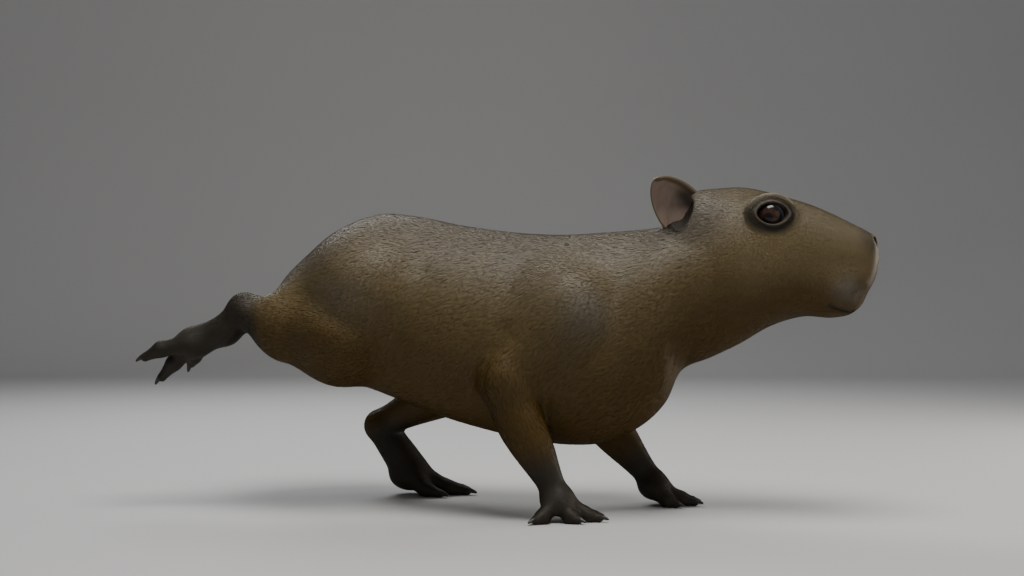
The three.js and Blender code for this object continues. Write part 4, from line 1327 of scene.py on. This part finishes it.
def unwrapped(p, region):
    """Place of each root on an unwrap of the skin from 0 to 1: on head and trunk the share along
    the body and the turn round its middle, on a leg the share along its bones and the turn
    round the nearest bone."""
    if region in LEGS:
        toe = LEGS[region]["toes"][1]
        bones = [bone[:2] for bone in LEGS[region]["bones"]] + [(toe[0], toe[2])]
        shares, aways, turns = [], [], []
        for start, end in bones:
            share, away = limb_share(p, start, end)
            along = unit(np.subtract(end, start))
            across = unit(np.cross(along, (0, 1, 0)))
            off = p - start
            shares.append(share)
            aways.append(away)
            turns.append(np.arctan2(off @ np.cross(along, across), off @ across))
        nearest = np.argmin(aways, 0)
        pick = np.arange(len(p))
        share = (nearest + np.array(shares)[nearest, pick]) / len(bones)
        turn = np.array(turns)[nearest, pick]
    else:
        x = p[:, 0]
        share = (x - x.min()) / max(x.max() - x.min(), 1)
        middle = (trunk_at(x, 1) + trunk_at(x, 2)) / 2
        turn = 2 * np.arctan2(p[:, 2] - middle, np.abs(p[:, 1]))
    return np.stack([0.01 + 0.97 * share, 0.5 + turn / (2.04 * np.pi)], -1)


def tuft_sizes(p, coat):
    """Length and width of the tuft at each root, in millimetres: long on the trunk, shorter on
    the head and legs, shortest on lids and feet and in creases."""
    x = p[:, 0]
    body, face = coat.body_length / MM, coat.face_length / MM
    length = eased(body, face, ramp(x, 330, 450)) - 0.45 * face * ramp(x, 560, 680)
    off = np.maximum(trunk_distance(p), 0)
    length = eased(length, TUFT_LONG["leg"], ramp(off, 10, 90) * (1 - ramp(x, 330, 380)))
    length = eased(length, TUFT_LONG["foot"], 1 - ramp(nearest_foot(p)[0], 6, 70))
    length = eased(length, TUFT_LONG["eye"], 1 - ramp(away_from(p, EYE), 36, 64))
    crease = np.maximum(crease_nearness(p), 1 - ramp(ear_pit(p), 4, 16))
    length = eased(length, TUFT_LONG["crease"], crease)
    slim = (coat.body_width - coat.face_width) / (coat.body_length - coat.face_length)
    return length, coat.face_width / MM + slim * (length - face)


def bare_spots(p):
    """1 where no hair grows: in the lids, nostrils, lips, sharp creases and pits of the ears, and
    under the feet."""
    hairy = np.minimum(ramp(ear_pit(p), 4, 10), ramp(p[:, 2], 3, 10))
    face = p[:, 0] > FACE_FROM
    q = p[face]
    hairy[face] = np.minimum.reduce([
        hairy[face],
        np.where(away_from(q, EYE) < 60, ramp(lid_opening(q), 4.0, 12.0), 1),
        ramp(away_from(q, NOSTRIL), 14, 22),
        ramp(line_distance(q, MOUTH_LINE), 3.0, 6.0),
        ramp(line_distance(q, CLEFT_LINE), 1.5, 3.5),
    ])
    return np.maximum(1 - hairy, ramp(crease_nearness(p), 0.72, 0.94))


def level_to(p, level):
    """Points moved along the slope of the fur's outside to their own levels, by two steps of
    Newton's rule."""
    for _ in range(2):
        way = slope(fur_distance, p)
        step = (level - fur_distance(p)) / np.maximum((way ** 2).sum(-1), 1e-6)
        p = placed(p, (way, np.clip(step, -12, 12)))
    return p


def strands(roots, ways, length, width, rng):
    """Closed thin tufts of four points and four faces: a root sunk in the skin, the two edges of
    the middle, and a tip. Each lies along its way and comes to rest just under the outside of
    the fur."""
    normal = unit(slope(fur_distance, roots))
    depth = np.maximum(-fur_distance(roots), 0.5)
    middle_level = -depth * rng.uniform(0.3, 0.5, len(roots))
    middle = level_to(placed(roots, (ways, length * TUFT_MIDDLE)), middle_level)
    loose = rng.uniform(0, 1, len(roots))
    tip = level_to(placed(roots, (ways, length)), -0.1 - 0.26 * depth * loose ** 2)
    half = placed(0, (np.cross(normal, ways), 0.5 * width))
    points = np.stack([roots - normal * 0.5, middle - half, middle + half, tip], 1)
    points[..., 2] = np.maximum(points[..., 2], SOLE)
    edges = points[:, 1:] - points[:, :1]
    inward = (np.cross(edges[:, 0], edges[:, 1]) * edges[:, 2]).sum(-1) > 0
    points[inward, 1:3] = points[inward, 2:0:-1]
    return points


STRAND_FACES = np.array([[0, 1, 2], [0, 3, 1], [0, 2, 3], [1, 3, 2]])
STRAND_SHARE = np.array([0, TUFT_MIDDLE, TUFT_MIDDLE, 1])
STRAND_ACROSS = np.array([0, -0.5, 0.5, 0])


def add_coat_piece(name, roots, ways, length, width, tone, material, patch=0.003):
    """One piece of coat from its roots, with its colouring, painted light and shade included, the
    strand's own numbers and the OFBake map, on which each tuft is a small patch at its root's place."""
    rng = np.random.default_rng(SEED + len(roots))
    points = strands(roots, ways, length, width, rng)
    count, corners = points.shape[:2]
    faces = (np.arange(count)[:, None, None] * corners + STRAND_FACES).reshape(-1, 3)
    piece = add_piece("coat_" + name, to_frame(points.reshape(-1, 3)), faces, material, smooth=False)
    set_colours(piece, "marks_and_shading", np.repeat(markings_and_shading(roots), corners, axis=0))
    clump = 0.5 + 0.5 * np.clip(ripple(roots, 24, SEED), -1, 1)
    own = [np.tile(STRAND_SHARE, count), np.repeat(tone, corners), np.repeat(clump, corners)]
    set_colours(piece, "strand", np.stack(own, -1))
    across = np.tile(STRAND_ACROSS, count) * patch
    along = np.tile(STRAND_SHARE - 0.5, count) * patch
    flat = np.repeat(unwrapped(roots, name), corners, axis=0) + np.stack([across, along], -1)
    layer = piece.data.uv_layers.new(name="OFBake")
    layer.data.foreach_set("uv", flat[faces.ravel()].astype(np.float32).ravel())
    return piece


def triangles_of(piece):
    """Corners of each triangle of a piece, in the animal's own axes."""
    piece.data.calc_loop_triangles()
    corners = np.empty(len(piece.data.loop_triangles) * 3, np.int32)
    piece.data.loop_triangles.foreach_get("vertices", corners)
    return (vertices_of(piece.data) / MM - SHIFT)[corners.reshape(-1, 3)]


def scattered(triangles, wanted, rng):
    """Places spread over triangles, as many on each as are wanted: even steps along the running
    sum of the wanted numbers, each moved by chance, and a random place in the triangle."""
    total = np.cumsum(wanted)
    count = int(total[-1])
    picks = np.searchsorted(total, (np.arange(count) + rng.uniform(0, 1, count)) * total[-1] / count)
    first, second, third = triangles[np.clip(picks, 0, len(wanted) - 1)].transpose(1, 0, 2)
    a, b = rng.uniform(0, 1, (2, count, 1))
    a, b = np.where(a + b > 1, 1 - a, a), np.where(a + b > 1, 1 - b, b)
    return first + (second - first) * a + (third - first) * b


class CAPY_OT_coat(bpy.types.Operator):
    """Covers the skin with tufts of hair that follow the lie of the coat."""

    bl_idname = "capy.coat"
    bl_label = "Coat"

    def execute(self, context):
        coat = context.scene.capy_coat
        triangles = triangles_of(bpy.data.objects["skin"])
        middles = triangles.mean(1)
        crossed = np.cross(triangles[:, 1] - triangles[:, 0], triangles[:, 2] - triangles[:, 0])
        length, width = tuft_sizes(middles, coat)
        layers = coat.cover * (1 + 0.35 * ramp(length, 14, 21))
        wanted = size_of(crossed) / 2 * layers * 2 / (length * width) * (1 - bare_spots(middles))
        rng = np.random.default_rng(SEED)
        roots = scattered(triangles, wanted, rng)
        count = len(roots)
        normal = unit(slope(fur_distance, roots))
        ways = lie_of_coat(roots, normal)
        length, width = tuft_sizes(roots, coat)
        swing = 0.08 * ripple(roots, 80, SEED + 1) + 0.05 * ripple(roots, 20, SEED + 2)
        swing = swing + rng.normal(0, 0.08, count)
        ways = unit(placed(0, (ways, np.cos(swing)), (np.cross(normal, ways), np.sin(swing))))
        length = length * rng.uniform(0.72, 1.12, count)
        width = width * rng.uniform(0.8, 1.2, count)
        tone = rng.uniform(0, 1, count)
        regions = coat_regions(roots)
        material = coat_material(context.scene.capy_colours)
        for name in sorted(set(regions)):
            own = regions == name
            piece = add_coat_piece(name, roots[own], ways[own], length[own], width[own], tone[own], material)
            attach(piece, "root")
        return {"FINISHED"}


def ear_leaf(side):
    """One ear: rings of a thin leaf from root to tip, bowed into a cup that opens outwards and
    forwards, with a thick roll along its front edge, a thin one behind and a fold in the cup.
    Returns points, faces and three numbers on each point: share of the length, cup, and the
    painted shade in the hollow at the foot of the front edge."""
    root = EAR_ROOT * (1, side, 1)
    length = size_of(EAR_TIP - EAR_ROOT)
    rise, outward, across = ear_axes(side)
    numbers = []

    def place(turn, share):
        t = -0.10 + 1.095 * share
        past = np.abs(t - EAR_WIDEST) / (1 - EAR_WIDEST)
        fill = np.maximum(1 - past ** EAR_ROUNDNESS, 0.0003) ** (1 / EAR_ROUNDNESS)
        angle = 2 * np.pi * turn
        span, face = np.cos(angle), np.sin(angle)
        edge = np.maximum(np.maximum(t, 0), span * span * 0.8)
        thick = eased(*EAR_THICK, edge) / 2
        hollow = EAR_CUP * (span ** 2 - 1) * np.sin(np.pi * np.clip(t * 0.9 + 0.1, 0, 1))
        front = ramp(span, -0.35, 0.45)
        inset = np.minimum(EAR_HALF * fill * (1 - np.abs(span)), length * (1 - t) * 0.8)
        roll = (1.6 + 4.2 * front) * hump(inset, 2.4 + 5.0 * front, 1.8 + 5.0 * front)
        fold = 1.4 * ramp(t, 0.1, 0.3) * (1 - ramp(t, 0.5, 0.75)) * hump(span, -0.35, 0.2)
        deep = 3.4 * hump(t, 0.2, 0.2) * hump(span, 0.42, 0.3)
        inner = np.clip(face * 2.5, 0, 1)
        lift = hollow + EAR_CURL * t * t + thick * face + inner * (roll + fold - deep)
        cup = ramp(face, -0.05, 0.3) * ramp(inset, 2 + 7 * front, 5 + 12 * front)
        # Painted shade in the hollow at the foot of the front edge, by the head
        recess_shade = ramp(face, 0, 0.3) * hump(span, 0.5, 0.3) * (1 - ramp(t, 0.2, 0.6))
        numbers.append(np.stack([np.clip(t, 0, 1), cup, recess_shade], -1).reshape(-1, 3))
        return placed(root, (rise, length * t), (across * side, EAR_HALF * fill * span), (outward, lift))

    points, faces = closed_tube(place, 96, 64)
    numbers.append([[0, 0, 0], [1, 0, 0]])
    return points, faces, np.concatenate(numbers)


class CAPY_OT_ears(bpy.types.Operator):
    """Builds both ears, with the folds of the cup."""

    bl_idname = "capy.ears"
    bl_label = "Ears"

    def execute(self, context):
        material = ear_material(context.scene.capy_colours)
        for word, side in SIDES:
            points, faces, numbers = ear_leaf(side)
            piece = add_closed_piece(f"ear_{word}_skin", points, faces, material)
            set_colours(piece, "leaf", numbers)
            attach(piece, "root")
            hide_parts(f"ear_{word}")
        return {"FINISHED"}


class CAPY_OT_eyes(bpy.types.Operator):
    """Builds both eyeballs with their corneas."""

    bl_idname = "capy.eyes"
    bl_label = "Eyes"

    def execute(self, context):
        material = eye_material(context.scene.capy_colours)
        forward, across, up = eye_axes()
        for word, side in SIDES:

            def place(turn, share):
                """Rings round the gaze, with the cornea bulging where they are near it."""
                polar = np.pi * (0.004 + 0.992 * share)
                radius = EYE_RADIUS - 0.8 + 1.0 * (1 - ramp(polar, 0.45, 0.75))
                ring = radius * np.sin(polar)
                angle = -2 * np.pi * turn * side
                q = placed(0, (forward, radius * np.cos(polar)), (across, ring * np.cos(angle)),
                           (up, ring * np.sin(angle)))
                return (q + EYE) * (1, side, 1)

            piece = add_closed_piece(f"eyeball_{word}", *closed_tube(place, 64, 48), material)
            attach(piece, "root")
            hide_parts(f"eye_{word}")
        return {"FINISHED"}


def nail(leg, knuckle, tip, size, past_toe):
    """One blunt nail: rings that taper by the 1.6th power and drop by the square of the share."""
    knuckle, tip = np.array(knuckle, float), np.array(tip, float)
    forward = unit(tip - knuckle)
    side = unit(np.cross((0, 0, 1), forward))
    up = np.cross(forward, side)
    start = tip + forward * (leg["tips"][2] - NAIL_SUNK) + up * 2.2

    def place(turn, share):
        angle = 2 * np.pi * turn
        taper = 1 + (NAIL_TAPER - 1) * share ** 1.6
        taper = taper * np.sqrt(np.maximum(1 - ramp(share, 0.9, 1.0) ** 2 * 0.9, 0.02))
        ridge = 1 + 0.05 * np.clip(np.sin(angle), 0, 1) ** 3
        radius = size * taper * ridge * 0.97
        drop = 0.16 * past_toe * share ** 2
        flatter = np.where(np.sin(angle) < 0, 0.62, 0.8)
        p = placed(start, (forward, (past_toe + NAIL_SUNK) * share), (side, 0.82 * radius * np.cos(angle)),
                   (up, radius * np.sin(angle) * flatter - drop))
        p[..., 2] = np.maximum(p[..., 2], NAIL_CLEAR + 0.6 * (1 + np.sin(angle)))
        return p

    return closed_tube(place, 20, 16)


class CAPY_OT_nails(bpy.types.Operator):
    """Builds the blunt nails of each foot."""

    bl_idname = "capy.nails"
    bl_label = "Nails"

    def execute(self, context):
        material = nail_material(context.scene.capy_colours)
        for name, leg in LEGS.items():
            sizes = NAIL_SIZES[name[:4]]
            parts = [nail(leg, knuckle, tip, *sizes) for _, knuckle, tip in leg["toes"]]
            piece = add_closed_piece(f"nails_{name}", *joined(parts), material)
            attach(piece, "root")
            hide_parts(*[f"{name}_nail_{n + 1}" for n in range(len(leg["toes"]))])
        return {"FINISHED"}


class CAPY_OT_whiskers(bpy.types.Operator):
    """Sets short dark whiskers in rows on both sides of the muzzle."""

    bl_idname = "capy.whiskers"
    bl_label = "Whiskers"

    def execute(self, context):
        rng = np.random.default_rng(SEED + 5)
        seats = [(side, n) for side in (-1, 1) for n in range(context.scene.capy_skin.whiskers)]
        parts = []
        for side, n in seats:
            column, row = divmod(n, WHISKER_ROWS)
            seat = WHISKER_START + np.multiply(column, WHISKER_COLUMN) + np.multiply(row, WHISKER_ROW)
            seat = seat + rng.normal(0, 2.2, (1, 3))
            seat[0, 1] = WHISKER_START[1]
            seat = draw_to(seat * (1, side, 1), skin_distance, 30)
            normal = unit(slope(coat_distance, seat))[0]
            way = unit(normal * 0.75 + np.array([-0.55, 0, -0.25 + rng.normal(0, 0.12)]))
            length = rng.uniform(26, 48)
            thick = rng.uniform(0.28, 0.4)
            across = unit(np.cross(way, (0, 0, 1)))
            up = np.cross(across, way)

            def place(turn, share):
                """Rings along a parabola that droops, tapering to the tip."""
                angle = 2 * np.pi * turn
                radius = thick * (1.02 - share)
                droop = np.array([-0.18, 0, -0.22]) * length
                return placed(seat[0], (way, length * share - 1), (droop, share ** 2),
                              (across, radius * np.cos(angle)), (up, radius * np.sin(angle)))

            parts.append(closed_tube(place, 5, 7))
        material = whisker_material(context.scene.capy_colours)
        piece = add_closed_piece("whiskers", *joined(parts), material)
        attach(piece, "root")
        return {"FINISHED"}


def sweep(half=9.0, near=9.0, behind=4.2, rise=5.0, bend=1.6, columns=25, around=33):
    """Floor that turns up into a backdrop through a quarter circle, carried sideways: its places
    sideways, back and up in metres, and its faces."""
    angle = np.linspace(0, np.pi / 2, around)
    back = np.concatenate([[-near], behind + bend * np.sin(angle), [behind + bend]])
    up = np.concatenate([[0.0], bend * (1 - np.cos(angle)), [rise]])
    number = np.arange(len(back) * columns).reshape(-1, columns)
    faces = np.stack([number[:-1, :-1], number[:-1, 1:], number[1:, 1:], number[1:, :-1]], -1)
    places = np.broadcast_arrays(np.linspace(-half, half, columns), back[:, None], up[:, None])
    return [place.ravel() for place in places], faces.reshape(-1, 4)


def soft_light(name, power, size, place, tint):
    """A square soft light that points at the middle of the body."""
    data = bpy.data.lights.new(name, "AREA")
    data.shape = "SQUARE"
    data.size = size
    data.energy = power
    data.color = tint
    lamp = bpy.data.objects.new(name, data)
    lamp.location = place
    aim = np.array([0, 0, BODY_MIDDLE]) - place
    pitch = np.arctan2(np.hypot(aim[0], aim[1]), -aim[2])
    lamp.rotation_euler = (pitch, 0, np.arctan2(aim[1], aim[0]) - np.pi / 2)
    bpy.context.scene.collection.objects.link(lamp)


class CAPY_OT_stage(bpy.types.Operator):
    """Sets the plain floor and backdrop, the soft studio light and the camera."""

    bl_idname = "capy.stage"
    bl_label = "Stage"

    def execute(self, context):
        stage = context.scene.capy_stage
        turn = stage.turn
        view = np.array([-np.sin(turn), np.cos(turn), 0])
        right = np.array([np.cos(turn), np.sin(turn), 0])
        up = np.array([0, 0, 1])
        (sideways, back, height), faces = sweep()
        points = placed(0, (right, sideways), (view, back), (up, height))
        floor = add_piece("stage_floor", points, faces, floor_material(stage))
        camera_data = bpy.data.cameras.new("camera")
        camera_data.lens = 50
        camera_data.sensor_width = 36
        camera_data.clip_end = 60
        camera = bpy.data.objects.new("camera", camera_data)
        camera.location = SHIFT * MM - view * stage.distance + np.array([0, 0, stage.height])
        camera.rotation_euler = (np.pi / 2, 0, turn)
        context.scene.collection.objects.link(camera)
        context.scene.camera = camera
        soft_light("key_light", stage.key, 1.5, -view * 0.9 + right * 0.4 + up * 3.0, (1.0, 0.985, 0.96))
        soft_light("fill_light", stage.fill, 2.2, -view * 2.4 + right * 3.2 + up * 1.3, (1.0, 0.98, 0.95))
        soft_light("back_light", stage.back, 1.8, view * 2.3 - right * 0.9 + up * 2.6, (0.97, 0.985, 1.0))
        soft_light("front_light", stage.front, 1.2, view * 0.9 + right * 2.8 + up * 0.6, (1.0, 0.93, 0.84))
        world = bpy.data.worlds.new("studio")
        world.use_nodes = True
        background = world.node_tree.nodes["Background"]
        background.inputs["Color"].default_value = (0.96, 0.965, 1.0, 1)
        background.inputs["Strength"].default_value = stage.sky
        context.scene.world = world
        return {"FINISHED"}


class CAPY_PT_panel(bpy.types.Panel):
    """Lists the pieces of the capybara and their settings."""

    bl_idname = "CAPY_PT_panel"
    bl_label = "Capybara"
    bl_space_type = "VIEW_3D"
    bl_region_type = "UI"
    bl_category = "Capybara"

    def draw(self, context):
        for group_name in GROUPS:
            group = getattr(context.scene, group_name)
            box = self.layout.box()
            for name in group.__annotations__:
                box.prop(group, name)
        for operator in OPERATORS:
            self.layout.operator(operator.bl_idname)


OPERATORS = (CAPY_OT_skin, CAPY_OT_coat, CAPY_OT_ears, CAPY_OT_eyes, CAPY_OT_nails,
             CAPY_OT_whiskers, CAPY_OT_stage)
GROUPS = {"capy_colours": ColourSettings, "capy_coat": CoatSettings,
          "capy_skin": SkinSettings, "capy_stage": StageSettings}


def register():
    """Registers the settings, operators and panel."""
    for name, group in GROUPS.items():
        bpy.utils.register_class(group)
        setattr(bpy.types.Scene, name, PointerProperty(type=group))
    for operator in OPERATORS:
        bpy.utils.register_class(operator)
    bpy.utils.register_class(CAPY_PT_panel)


def unregister():
    """Takes the panel, operators and settings out again."""
    bpy.utils.unregister_class(CAPY_PT_panel)
    for operator in reversed(OPERATORS):
        bpy.utils.unregister_class(operator)
    for name, group in reversed(list(GROUPS.items())):
        delattr(bpy.types.Scene, name)
        bpy.utils.unregister_class(group)


def main():
    """Builds every piece in order."""
    register()
    bpy.ops.capy.skin()
    bpy.ops.capy.coat()
    bpy.ops.capy.ears()
    bpy.ops.capy.eyes()
    bpy.ops.capy.nails()
    bpy.ops.capy.whiskers()
    bpy.ops.capy.stage()


if __name__ == "__main__":
    main()
